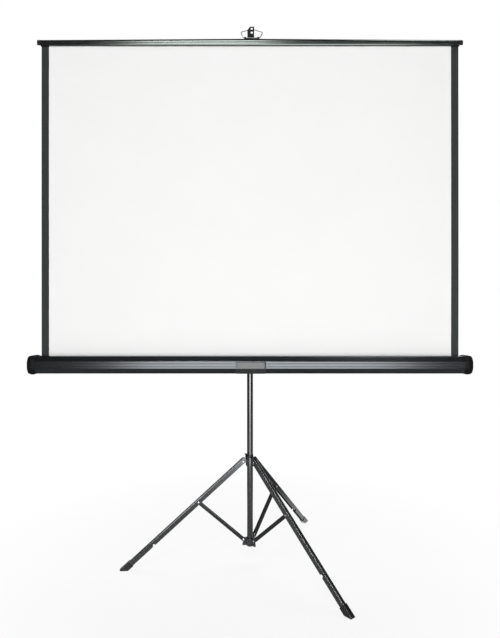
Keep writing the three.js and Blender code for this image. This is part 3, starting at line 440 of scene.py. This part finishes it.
def knob(radius, length):
    """Lobed hand knob along Y with an eased rim and a dished face; its screw runs back to the tip."""
    grip_back = length - KNOB_LENGTH
    stations = [
        (0.0, 0.0, 0), (0.0, grip_back, 0), (-KNOB_EDGE, grip_back, 1), (0.0, grip_back + KNOB_EDGE, 1),
        (0.0, length - KNOB_EDGE, 1), (-0.3 * KNOB_EDGE, length - 0.3 * KNOB_EDGE, 1),
        (-KNOB_EDGE, length, 1), (-2.4 * KNOB_EDGE, length, 1), (-2.9 * KNOB_EDGE, length - KNOB_DISH, 1),
    ]
    rings = []
    for inset, y, lobed in stations:
        ring = []
        for a in knob_angles:
            scallop = KNOB_LOBE_DEPTH * (1 - math.cos(KNOB_LOBES * a)) / 2
            r = radius - scallop + inset if lobed else KNOB_SCREW_RADIUS
            ring.append((r * math.cos(a), y, r * math.sin(a)))
        rings.append(ring)
    return loft(rings)


for holder, turned_by in (("rod_collar", "rod_knob"), ("case_carriage", "carriage_knob")):
    eased(holder, black_plastic, 0.001)
    low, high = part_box(turned_by)
    place = Matrix.Translation(((low.x + high.x) / 2, low.y, (low.z + high.z) / 2))
    shape = knob((high.x - low.x) / 2, high.y - low.y)
    add_piece(f"{turned_by}.lobed", shape, black_plastic, turned_by, at=place)
eased("swivel_plate", stand_paint, 0.0006)
eased("swivel_bolt", zinc, 0.0005)

# Roller case: a faceted extruded shell, painted satin charcoal, with a slot along its top. Two
# fine grooves run along its front band. Moulded caps close its ends and carry the roller.
CASE_WALL = 0.0016
CASE_FRONT_FACE = 0.029
CASE_FRONT_CHAMFER = 0.012
CASE_BACK_CHAMFER = 0.006
CASE_SLOT = 0.011
CASE_CORNER = 0.0022
GROOVE_WIDTH = 0.0016
GROOVE_DEPTH = 0.0005
GROOVE_CORNER = 0.0002
GROOVE_HEIGHTS = (0.0058, -0.0058)
cloth_low, cloth_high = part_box("screen_fabric")
cloth_y = (cloth_low.y + cloth_high.y) / 2
case_low, case_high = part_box("case_shell")
case_axis = (case_low + case_high) / 2
case_front = case_low.y - case_axis.y
case_top = case_high.z - case_axis.z


def rounded(corners, radius, steps=4):
    """Closed outline whose corners are replaced by arcs; each may be given its own radius."""
    outline = []
    for i, corner in enumerate(corners):
        here = Vector(corner[:2])
        back = Vector(corners[i - 1][:2]) - here
        ahead = Vector(corners[(i + 1) % len(corners)][:2]) - here
        reach = corner[2] if len(corner) > 2 else radius
        reach = min(reach, 0.45 * back.length, 0.45 * ahead.length)
        start, end = here + back.normalized() * reach, here + ahead.normalized() * reach
        for step in range(steps + 1):
            t = step / steps
            outline.append(start * (1 - t) ** 2 + here * 2 * t * (1 - t) + end * t ** 2)
    return outline


def offset(corners, distance):
    """Outline moved outwards by a distance; it runs anticlockwise."""
    moved = []
    for i, corner in enumerate(corners):
        here = Vector(corner)
        back = (here - Vector(corners[i - 1])).normalized()
        ahead = (Vector(corners[(i + 1) % len(corners)]) - here).normalized()
        out_back, out_ahead = Vector((back.y, -back.x)), Vector((ahead.y, -ahead.x))
        middle = (out_back + out_ahead).normalized()
        moved.append(tuple(here + middle * distance / middle.dot(out_back)))
    return moved


def along_x(outline, x, middle):
    """Ring of an outline in Y and Z, set at one X."""
    return [(x, middle.y + point[0], middle.z + point[1]) for point in outline]


case_corners = [
    (case_front + CASE_FRONT_CHAMFER, -case_top), (-case_front - CASE_BACK_CHAMFER, -case_top),
    (-case_front, CASE_BACK_CHAMFER - case_top), (-case_front, case_top - CASE_BACK_CHAMFER),
    (-case_front - CASE_BACK_CHAMFER, case_top), (case_front + CASE_FRONT_CHAMFER, case_top),
    (case_front, CASE_FRONT_FACE / 2), (case_front, -CASE_FRONT_FACE / 2),
]
slot_middle = cloth_y - case_axis.y
slot_back = [(slot_middle + CASE_SLOT / 2, case_top - CASE_WALL), (slot_middle + CASE_SLOT / 2, case_top)]
slot_front = [(slot_middle - CASE_SLOT / 2, case_top), (slot_middle - CASE_SLOT / 2, case_top - CASE_WALL)]
grooves = []
for height in GROOVE_HEIGHTS:
    grooves += [
        (case_front, height + GROOVE_WIDTH / 2, GROOVE_CORNER),
        (case_front + GROOVE_DEPTH, height, GROOVE_CORNER),
        (case_front, height - GROOVE_WIDTH / 2, GROOVE_CORNER),
    ]
inner_corners = offset(case_corners, -CASE_WALL)
section = [
    *slot_front[:1], *case_corners[5:7], *grooves, case_corners[7], *case_corners[:5], *reversed(slot_back),
    *reversed(inner_corners[:5]), inner_corners[7], inner_corners[6], inner_corners[5], *slot_front[1:],
]
case_paint = baked_paint("case_paint", grey(0.085, 0.07), 0.22, 0.95, 0.05, stretch=0.12)
case_outline = rounded(section, CASE_CORNER)
shell_shape = loft([along_x(case_outline, x, case_axis) for x in (case_low.x, case_high.x)])
add_piece("case", shell_shape, case_paint, "case_shell", crease=28)

CAP_FIT = 0.0003
CAP_MOUTH = 0.0016
CAP_LIP = 0.004
CAP_FLARE = 0.010
CAP_DROP = 0.008
CAP_DOME_STEPS = 8
CAP_CORNER = 0.006
CAP_FACE_RIM = 0.003
CAP_FACE_DISH = 0.0012


def end_cap(inner, pocket, outer):
    """Moulded cap: a pocket for the shell, a flared lip, a rounded end and a shallow dished face."""
    def ring(x, growth, corner=CAP_CORNER):
        return along_x(rounded(offset(case_corners, growth), corner), x, case_axis)

    lip = inner + CAP_FLARE
    rings = [ring(pocket, CAP_FIT, CASE_CORNER), ring(inner, CAP_FIT, CASE_CORNER), ring(inner, CAP_MOUTH)]
    for i in range(CAP_DOME_STEPS + 1):
        turn = math.pi / 2 * i / CAP_DOME_STEPS
        rings.append(ring(lip + (outer - lip) * math.sin(turn), CAP_LIP - CAP_DROP * (1 - math.cos(turn))))
    face = CAP_LIP - CAP_DROP - CAP_FACE_RIM
    rings += [ring(outer, face), ring(outer - CAP_FACE_DISH, face - CAP_FACE_DISH)]
    return loft(rings)


dull_plastic = moulded_plastic("dull_plastic", grey(0.006, 0.04), 0.5, 0.1)
cap_low, cap_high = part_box("case_cap_right")
for side, mirror in (("right", 1), ("left", -1)):
    shape = end_cap(cap_low.x, case_high.x + CAP_FIT, cap_high.x)
    facing = Matrix.Diagonal((mirror, 1, 1, 1))
    node = f"case_cap_{side}"
    add_piece(f"{node}.domed", shape, dull_plastic, node, crease=24, at=facing)

# Carry grip: a black moulding that hugs the middle of the case front. A finger groove runs under
# its plain face, and a rounded lip below it takes the weight.
GRIP_FIT = 0.0003
GRIP_THICKNESS = 0.0036
GRIP_CORNER = 0.0016
GRIP_RINGS = 15
GRIP_END_SHARE = 0.3
grip_low, grip_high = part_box("carry_grip")
grip_plastic = moulded_plastic("grip_plastic", grey(0.02, 0.05), 0.22, 0.62)


def grip_ring(x, swell):
    """Section of the grip at one X; swell is its share of the full thickness."""
    t = GRIP_THICKNESS * swell
    half = CASE_FRONT_FACE / 2
    front = case_front - GRIP_FIT
    foot_y, foot_z = case_front + CASE_FRONT_CHAMFER - GRIP_FIT, -case_top - GRIP_FIT
    lip_y, lip_z = (front + foot_y) / 2, (-half + foot_z) / 2
    corners = [
        (front, half), (front - 0.7 * t, half - 0.0008), (front - t, half - 0.003),
        (front - t, -half + 0.001), (front - 0.8 * t, -half - 0.0008), (front - 0.1 * t, -half - 0.0028),
        (front + 0.0026 - 0.7 * t, -half - 0.0052), (lip_y - 1.05 * t, lip_z - 0.3 * t),
        (foot_y - 0.8 * t, foot_z - 0.1 * t), (foot_y, foot_z), (front, -half),
    ]
    return along_x(rounded(corners, GRIP_CORNER), x, case_axis)


grip_rings = []
for i in range(GRIP_RINGS):
    share = -math.cos(math.pi * i / (GRIP_RINGS - 1))
    fullness = 1 - abs(share) ** (3 if share < 0 else 9)
    x = (grip_low.x + grip_high.x) / 2 + share * (grip_high.x - grip_low.x) / 2
    grip_rings.append(grip_ring(x, GRIP_END_SHARE + (1 - GRIP_END_SHARE) * fullness))
add_piece("grip", loft(grip_rings), grip_plastic, "carry_grip", crease=30)

# Spring roller: a steel tube on a nylon plug at one end and a spear with a coil spring at the
# other. All of it runs hidden in the case, with the rest of the cloth wound on it.
ROLL_TURNS = 6
ROLL_STEPS = 40
ROLL_FIT = 0.0004
CLOTH_THICKNESS = 0.00045
WEAVE_SCALE = 420.0


def drawn_steel(name, axis_scale):
    """Drawn tube: fine scratches along its length over a clean satin metal."""
    material, shader, start = new_finish(name, Metallic=1.0)
    place = start.node("TexCoord", output="Object")
    drawn = start.node("Mapping", None, {"Vector": place, "Scale": axis_scale}, "Vector")
    lines = noise(start, drawn, 500.0, 3.0)
    haze = noise(start, place, 12.0, 3.0)
    haze.tint((0.5, 0.51, 0.53, 1), (0.6, 0.61, 0.62, 1)).feed(shader, "Base Color")
    (0.22 + lines * 0.16 + haze * 0.06).feed(shader, "Roughness")
    relief(start, lines, 0.00001).feed(shader, "Normal")
    return material


roller_steel = drawn_steel("roller_steel", (0.01, 1, 1))
nylon = moulded_plastic("pale_nylon", (0.62, 0.61, 0.56, 1), 0.5)
dress(roller_steel, "roller_tube", "roller_spring")
dress(zinc, "roller_spear")
dress(nylon, "roller_plug_left", "roller_plug_right")


def woven_cloth(name, colour, roughness, depth):
    """Coated screen cloth: a fine plain weave under a matt coat, with faint clouding."""
    material, shader, start = new_finish(name, Specular_IOR_Level=0.25)
    place = start.node("TexCoord", output="Object")
    weft = start.node("TexWave", {"bands_direction": "X"}, {"Vector": place, "Scale": WEAVE_SCALE}, "Fac")
    warp = start.node("TexWave", {"bands_direction": "Z"}, {"Vector": place, "Scale": WEAVE_SCALE}, "Fac")
    cloud = noise(start, place, 5.0, 3.0)
    dull = tuple(0.97 * part for part in colour[:3]) + (1,)
    cloud.tint(dull, colour).feed(shader, "Base Color")
    (roughness + weft * warp * 0.08).feed(shader, "Roughness")
    relief(start, weft * warp, depth).feed(shader, "Normal")
    return material


screen_white = woven_cloth("screen_white", (0.9, 0.9, 0.895, 1), 0.82, 0.00006)
screen_border = woven_cloth("screen_border", grey(0.028, 0.06), 0.5, 0.00006)
screen_back = woven_cloth("screen_back", grey(0.03), 0.7, 0.00008)
roll_low, roll_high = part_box("fabric_roll")
roll_middle = (roll_low + roll_high) / 2
roll_radius = (roll_high.z - roll_low.z) / 2
core_low, core_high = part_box("roller_tube")
core_radius = (core_high.z - core_low.z) / 2 + ROLL_FIT


def spiral(side):
    """One face of the wound cloth, from the core outwards; side is 0 inside and 1 outside."""
    points = []
    for i in range(ROLL_TURNS * ROLL_STEPS + 1):
        share = i / (ROLL_TURNS * ROLL_STEPS)
        r = core_radius + (roll_radius - CLOTH_THICKNESS - core_radius) * share + side * CLOTH_THICKNESS
        turn = 2 * math.pi * ROLL_TURNS * (share - 1)
        points.append((r * math.cos(turn), r * math.sin(turn)))
    return points


roll_outline = [*spiral(1), *reversed(spiral(0))]
roll_shape = loft([along_x(roll_outline, x, roll_middle) for x in (roll_low.x, roll_high.x)])
add_piece("wound_cloth", roll_shape, screen_white, "fabric_roll", broad=1.0)

# Screen: one sheet of coated cloth, white in front with a black strip down each side and a dark
# back. It hangs taut from the slat to the roller, with the slight waves that a pull-up screen keeps.
BORDER_WIDTH = 0.0295
WAVE_DEPTH = 0.0011
WAVE_LENGTH = 0.46
WAVE_DRIFT = 2.2
EDGE_CURL = 0.0016
CLOTH_COLUMNS = 72
CLOTH_ROWS = 56
cloth_length = cloth_high.z - cloth_low.z
cloth_half = cloth_high.x
picture_half = cloth_half - BORDER_WIDTH


def cloth_wave(x, height):
    """How far the sheet stands out of its plane; it lies flat at the slat and at the case."""
    rise = (height - cloth_low.z) / cloth_length
    held = math.sin(math.pi * rise) ** 0.7
    curl = EDGE_CURL * (abs(x) / cloth_half) ** 8
    return held * (WAVE_DEPTH * math.sin(2 * math.pi * x / WAVE_LENGTH + WAVE_DRIFT * rise) - curl)


def cloth_sheet():
    """Front and back skins of the sheet, with the strips on their own columns."""
    inside = [picture_half * (2 * i / CLOTH_COLUMNS - 1) for i in range(CLOTH_COLUMNS + 1)]
    strip = [picture_half + BORDER_WIDTH * i / 3 for i in (1, 2, 3)]
    columns = [-x for x in reversed(strip)] + inside + strip
    rows = [cloth_low.z + cloth_length * i / CLOTH_ROWS for i in range(CLOTH_ROWS + 1)]
    shape = bmesh.new()
    skins = []
    for side in (-0.5, 0.5):
        skins.append([[
            shape.verts.new((x, cloth_y + side * CLOTH_THICKNESS + cloth_wave(x, z), z)) for x in columns
        ] for z in rows])
    for side, skin in enumerate(skins):
        for r in range(len(rows) - 1):
            for c in range(len(columns) - 1):
                face = shape.faces.new((skin[r][c], skin[r][c + 1], skin[r + 1][c + 1], skin[r + 1][c]))
                outside = abs(columns[c] + columns[c + 1]) / 2 > picture_half
                face.material_index = 2 if side else int(outside)
    rim = [(0, c) for c in range(len(columns))] + [(r, len(columns) - 1) for r in range(1, len(rows))]
    rim += [(len(rows) - 1, c) for c in range(len(columns) - 2, -1, -1)]
    rim += [(r, 0) for r in range(len(rows) - 2, 0, -1)]
    front, back = skins
    for (r0, c0), (r1, c1) in zip(rim, rim[1:] + rim[:1]):
        face = shape.faces.new((front[r0][c0], front[r1][c1], back[r1][c1], back[r0][c0]))
        face.material_index = 1
    return shape


screen = add_piece("screen", cloth_sheet(), screen_white, "screen_fabric")
screen.data.materials.append(screen_border)
screen.data.materials.append(screen_back)
travel = -joints["rod_slide"]["range_m"][0]
1 - travel / cloth_length
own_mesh(screen)

# Top slat: an extruded channel, painted like the case, that grips the hem of the cloth on a dowel.
# Its front has a rounded shoulder, a flat band with a groove, and a lower bevel. It stands a little
# higher at its middle, where the bail lifts it. Plain moulded caps close its ends.
SLAT_WALL = 0.0014
SLAT_SLOT = 0.0032
SLAT_FOOT = 0.0078
SLAT_RISE = 0.0048
SLAT_BROW = 0.0045
SLAT_BAND = 0.0185
SLAT_SHOULDER_BACK = 0.0018
SLAT_SHOULDER_DROP = 0.0032
SLAT_TOP_BACK = 0.0055
SLAT_GROOVE = (0.0082, 0.0092, 0.0112, 0.0122)
SLAT_GROOVE_DEPTH = 0.0014
SLAT_INNER_BROW = 0.0053
SLAT_FRONT_WALL = 0.003
SLAT_CORNER = 0.0008
SLAT_LIFTS = (-0.0028, 0.0024, -0.0028)
SLAT_CAP_CORNER = 0.0012
SLAT_CAP_FLANGE = 0.0016
slat_low, slat_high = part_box("slat_tube")
slat_half = (slat_high.y - slat_low.y) / 2
slat_height = slat_high.z - slat_low.z
slat_foot = Vector((0, cloth_y, slat_low.z))


def slat_section(lift):
    """Section of the slat at one place; lift raises all of it above the lower bevel."""
    top = slat_height + lift
    lip_low, bed_low, bed_high, lip_high = (height + lift for height in SLAT_GROOVE)
    bed = -slat_half + SLAT_GROOVE_DEPTH
    front = [
        (-SLAT_SLOT / 2, 0.0), (-SLAT_FOOT, 0.0), (-slat_half, SLAT_RISE, 0.001),
        (-slat_half, lip_low, 0.0006), (bed, bed_low, 0.0005),
        (bed, bed_high, 0.0005), (-slat_half, lip_high, 0.0006),
        (-slat_half, SLAT_BAND + lift, 0.003),
        (-slat_half + SLAT_SHOULDER_BACK, top - SLAT_SHOULDER_DROP, 0.003),
        (-slat_half + SLAT_TOP_BACK, top, 0.002),
    ]
    back = [
        (slat_half - SLAT_BROW, top, 0.002), (slat_half, top - SLAT_BROW, 0.002),
        (slat_half, SLAT_RISE), (SLAT_FOOT, 0.0), (SLAT_SLOT / 2, 0.0),
    ]
    inside = [
        (SLAT_SLOT / 2, SLAT_WALL), (SLAT_FOOT - 0.0008, SLAT_WALL),
        (slat_half - SLAT_WALL, SLAT_RISE + 0.0006), (slat_half - SLAT_WALL, top - SLAT_INNER_BROW),
        (slat_half - SLAT_INNER_BROW, top - SLAT_WALL), (-slat_half + 0.0065, top - SLAT_WALL),
        (-slat_half + SLAT_FRONT_WALL, SLAT_BAND + lift),
        (-slat_half + SLAT_FRONT_WALL, SLAT_RISE + 0.0016),
        (-SLAT_FOOT + 0.0008, SLAT_WALL), (-SLAT_SLOT / 2, SLAT_WALL),
    ]
    return rounded([*reversed(front), *reversed(inside), *reversed(back)], SLAT_CORNER)


def slat_cap(inner, outer, lift):
    """Moulded cap on one end of the slat: a flange that covers the tube, then a slimmer block."""
    top = slat_height + lift
    brow = [
        (slat_half, top - SLAT_BROW), (slat_half - SLAT_BROW, top), (-slat_half + SLAT_TOP_BACK, top),
        (-slat_half + SLAT_SHOULDER_BACK, top - SLAT_SHOULDER_DROP), (-slat_half, SLAT_BAND + lift),
    ]
    flange = [(SLAT_FOOT, 0.0), (slat_half, SLAT_RISE), *brow, (-slat_half, SLAT_RISE), (-SLAT_FOOT, 0.0)]
    block = [(0.003, 0.006), (slat_half, 0.0095), *brow, (-slat_half, 0.0053), (-SLAT_FOOT, 0.0015)]
    step = inner + SLAT_CAP_FLANGE
    stations = [
        (inner, flange, 0.0004), (step, flange, 0.0004), (step, block, 0.0003),
        (outer - SLAT_CAP_CORNER, block, 0.0003), (outer, block, -SLAT_CAP_CORNER / 2),
    ]
    outlines = [(x, rounded(offset(skin, growth), SLAT_CAP_CORNER)) for x, skin, growth in stations]
    return loft([along_x(outline, x, slat_foot) for x, outline in outlines])


slat_cap_low, slat_cap_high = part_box("slat_cap_right")
slat_end = slat_cap_low.x + SLAT_CAP_FLANGE / 2
slat_stations = zip((-slat_end, 0.0, slat_end), SLAT_LIFTS)
slat_shape = loft([along_x(slat_section(lift), x, slat_foot) for x, lift in slat_stations])
slat_paint = baked_paint("slat_paint", (0.08, 0.089, 0.084, 1), 0.18, 0.9, 0.05, stretch=0.12)
add_piece("slat", slat_shape, slat_paint, "slat_tube", crease=28)
for side, mirror in (("right", 1), ("left", -1)):
    shape = slat_cap(slat_cap_low.x, slat_cap_high.x, SLAT_LIFTS[0])
    facing = Matrix.Diagonal((mirror, 1, 1, 1))
    node = f"slat_cap_{side}"
    add_piece(f"{node}.plain", shape, black_plastic, node, at=facing)
dress(nylon, "hem_dowel")

# Saddle and bail: a pressed saddle on the slat with two rolled ends, and a bright wire bail that
# turns in them. The bail lifts over the tongue of the hook and carries the screen.
WIRE_RADIUS = 0.0019
BAIL_RIGHT = [
    (0.0006, 0.0), (0.012, 0.0), (0.0258, 0.0), (0.0301, 0.0), (0.0348, 0.0042), (0.0382, 0.01),
    (0.0412, 0.0185), (0.0411, 0.0222), (0.0383, 0.0242), (0.0262, 0.027), (0.0138, 0.0318), (0.008, 0.032),
]
hook_paint = baked_paint("hook_paint", grey(0.012, 0.04), 0.5, 0.3, 0.06)
eased("bail_saddle", hook_paint, 0.0004)
bail_low, bail_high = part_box("bail")
bail_middle = (bail_low + bail_high) / 2
bail_foot = bail_low.z + WIRE_RADIUS
bail_route = BAIL_RIGHT + [(-x, z) for x, z in reversed(BAIL_RIGHT)]
wire = bpy.data.curves.new("bail_wire", "CURVE")
wire.dimensions = "3D"
wire.bevel_depth = WIRE_RADIUS
wire.bevel_resolution = 4
wire.resolution_u = 8
wire.use_fill_caps = True
spline = wire.splines.new("BEZIER")
spline.bezier_points.add(len(bail_route) - 1)
for point, (x, z) in zip(spline.bezier_points, bail_route):
    point.co = (bail_middle.x + x, bail_middle.y, bail_foot + z)
    point.handle_left_type = "AUTO"
    point.handle_right_type = "AUTO"
wire.materials.append(plated_zinc("dull_zinc", 0.5))
bail = bpy.data.objects.new("bail_wire", wire)
bpy.context.scene.collection.objects.link(bail)
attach(bail, "mast")
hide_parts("bail")

# Mast: a bright drawn rod that slides in the pole on a nylon foot. A bent hook plate with two
# windows, each with a tongue, is screwed to the plug in its top.
ROD_WALL = 0.0012
rod_low, rod_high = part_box("extension_rod")
rod_radius = (rod_high.x - rod_low.x) / 2
rod_steel = drawn_steel("rod_steel", (1, 1, 0.01))
rod_shape = tube(rod_radius, rod_radius - ROD_WALL, rod_low.z, rod_high.z)
add_piece("mast_rod", rod_shape, rod_steel, "extension_rod", at=pole_place)
dress(nylon, "rod_foot")
dress(black_plastic, "rod_plug")
eased("hook_plate", hook_paint, 0.0005)
eased("hook_screw", zinc, 0.0006)

# Studio: a plain pale floor that keeps a soft shadow, a white backdrop, one wide panel of light
# behind the viewer, a high panel that catches the slat, and a soft lamp overhead. A fill evens the
# cloth towards its top, and a small panel high on the right glints in the folds of the legs.
FLOOR_FRONT = -1.45
FLOOR_REACH = 30.0
SHADOW_SHARE = 0.14
SHADOW_REACH = (0.5, 1.4)
MIRROR_REACH = (0.5, 1.0)
MIRROR_FRONT = (-0.1, 0.5)
BACKDROP_EDGE = (0.3, 0.8)
MIRROR_SHARE = 0.25
AMBIENT = 0.06
scene = bpy.context.scene
scene.view_settings.view_transform = "Standard"


def mirror_rays(start):
    """1 for a ray that comes by way of metal or glass, else 0."""
    glossy = start.node("LightPath", output="Is Glossy Ray")
    return glossy + start.node("LightPath", output="Is Transmission Ray")


floor_mesh = bpy.data.meshes.new("floor")
floor_corners = [(-FLOOR_REACH, FLOOR_FRONT, 0), (FLOOR_REACH, FLOOR_FRONT, 0),
                 (FLOOR_REACH, FLOOR_REACH, 0), (-FLOOR_REACH, FLOOR_REACH, 0)]
floor_mesh.from_pydata(floor_corners, [], [(0, 1, 2, 3)])
floor = bpy.data.objects.new("floor", floor_mesh)
scene.collection.objects.link(floor)
floor_paint, floor_shader, start = new_finish("floor_paint", Roughness=0.9, Specular_IOR_Level=0.0)
lit = Shade(floor_paint.node_tree, floor_shader.outputs["BSDF"])
white = start.node("Emission", None, {"Strength": 1.0}, "Emission")
place = start.node("TexCoord", output="Object")
away = start.node("VectorMath", {"operation": "LENGTH"}, {0: place}, "Value")
behind = start.node("SeparateXYZ", None, {"Vector": place}, "Y").ramp(*MIRROR_FRONT)
seen = start.node("LightPath", output="Is Camera Ray")
mirrored = mirror_rays(start)
# Painted shade in reflections: seen in metal the floor is darker than it is, most of all behind the object.
(mirrored * (0.6 + 0.4 * behind)).tint(grey(0.9), grey(0.1)).feed(floor_shader, "Base Color")
share = seen * (1 - SHADOW_SHARE * (1 - away.ramp(*SHADOW_REACH)))
# Seen in metal, the floor close behind the object glows white like the backdrop.
share = share + (1 - seen) * mirrored * behind * (1 - away.ramp(*MIRROR_REACH))
surface = start.node("MixShader", None, {"Fac": share, 1: lit, 2: white}, "Shader")
surface.feed(floor_paint.node_tree.nodes["Material Output"], "Surface")
floor_mesh.materials.append(floor_paint)

world = bpy.data.worlds.new("studio")
scene.world = world
world.use_nodes = True
start = Shade(world.node_tree)
seen = start.node("LightPath", output="Is Camera Ray")
mirrored = mirror_rays(start)
facing = start.node("SeparateXYZ", None, {"Vector": start.node("TexCoord", output="Generated")}, "Y")
reflected = (1 - seen) * mirrored * facing.ramp(*BACKDROP_EDGE) * MIRROR_SHARE
level = AMBIENT + (1 - AMBIENT) * (seen + reflected)
backdrop = world.node_tree.nodes["Background"]
backdrop.inputs["Color"].default_value = (1, 1, 1, 1)
level.feed(backdrop, "Strength")


def panel(name, place, target, size, power):
    """Rectangular soft light that isn't seen itself."""
    light = bpy.data.lights.new(name, "AREA")
    light.shape = "RECTANGLE"
    light.size, light.size_y = size
    light.energy = power
    lamp = bpy.data.objects.new(name, light)
    lamp.location = place
    lamp.rotation_euler = (Vector(target) - Vector(place)).to_track_quat("-Z", "Y").to_euler()
    lamp.visible_camera = False
    scene.collection.objects.link(lamp)
    return lamp


panel("front_panel", (0.2, -4.7, 1.0), (0.2, 0, 1.0), (3.6, 2.4), 156)
panel("front_foot", (0.2, -4.7, -0.6), (0.2, 0, -0.6), (3.6, 0.8), 24)
panel("high_panel", (-0.6, -4.6, 4.5), (-0.2, 0, 2.0), (1.7, 0.9), 72)
panel("overhead", (0.3, 1.8, 4.8), (0.3, 1.0, 0), (4.6, 3.0), 148)
panel("rear_fill", (1.8, 5.0, 2.2), (0, 0, 1.1), (2.4, 2.4), 40)
fill = panel("cloth_fill", (0.0, -3.4, 3.0), (0.0, 0, 1.75), (2.4, 0.8), 6)
fill.visible_glossy = False
glint = panel("glint_panel", (1.5, -1.1, 5.0), (0.1, -0.15, 0.35), (1.0, 1.0), 36)
glint.visible_diffuse = False
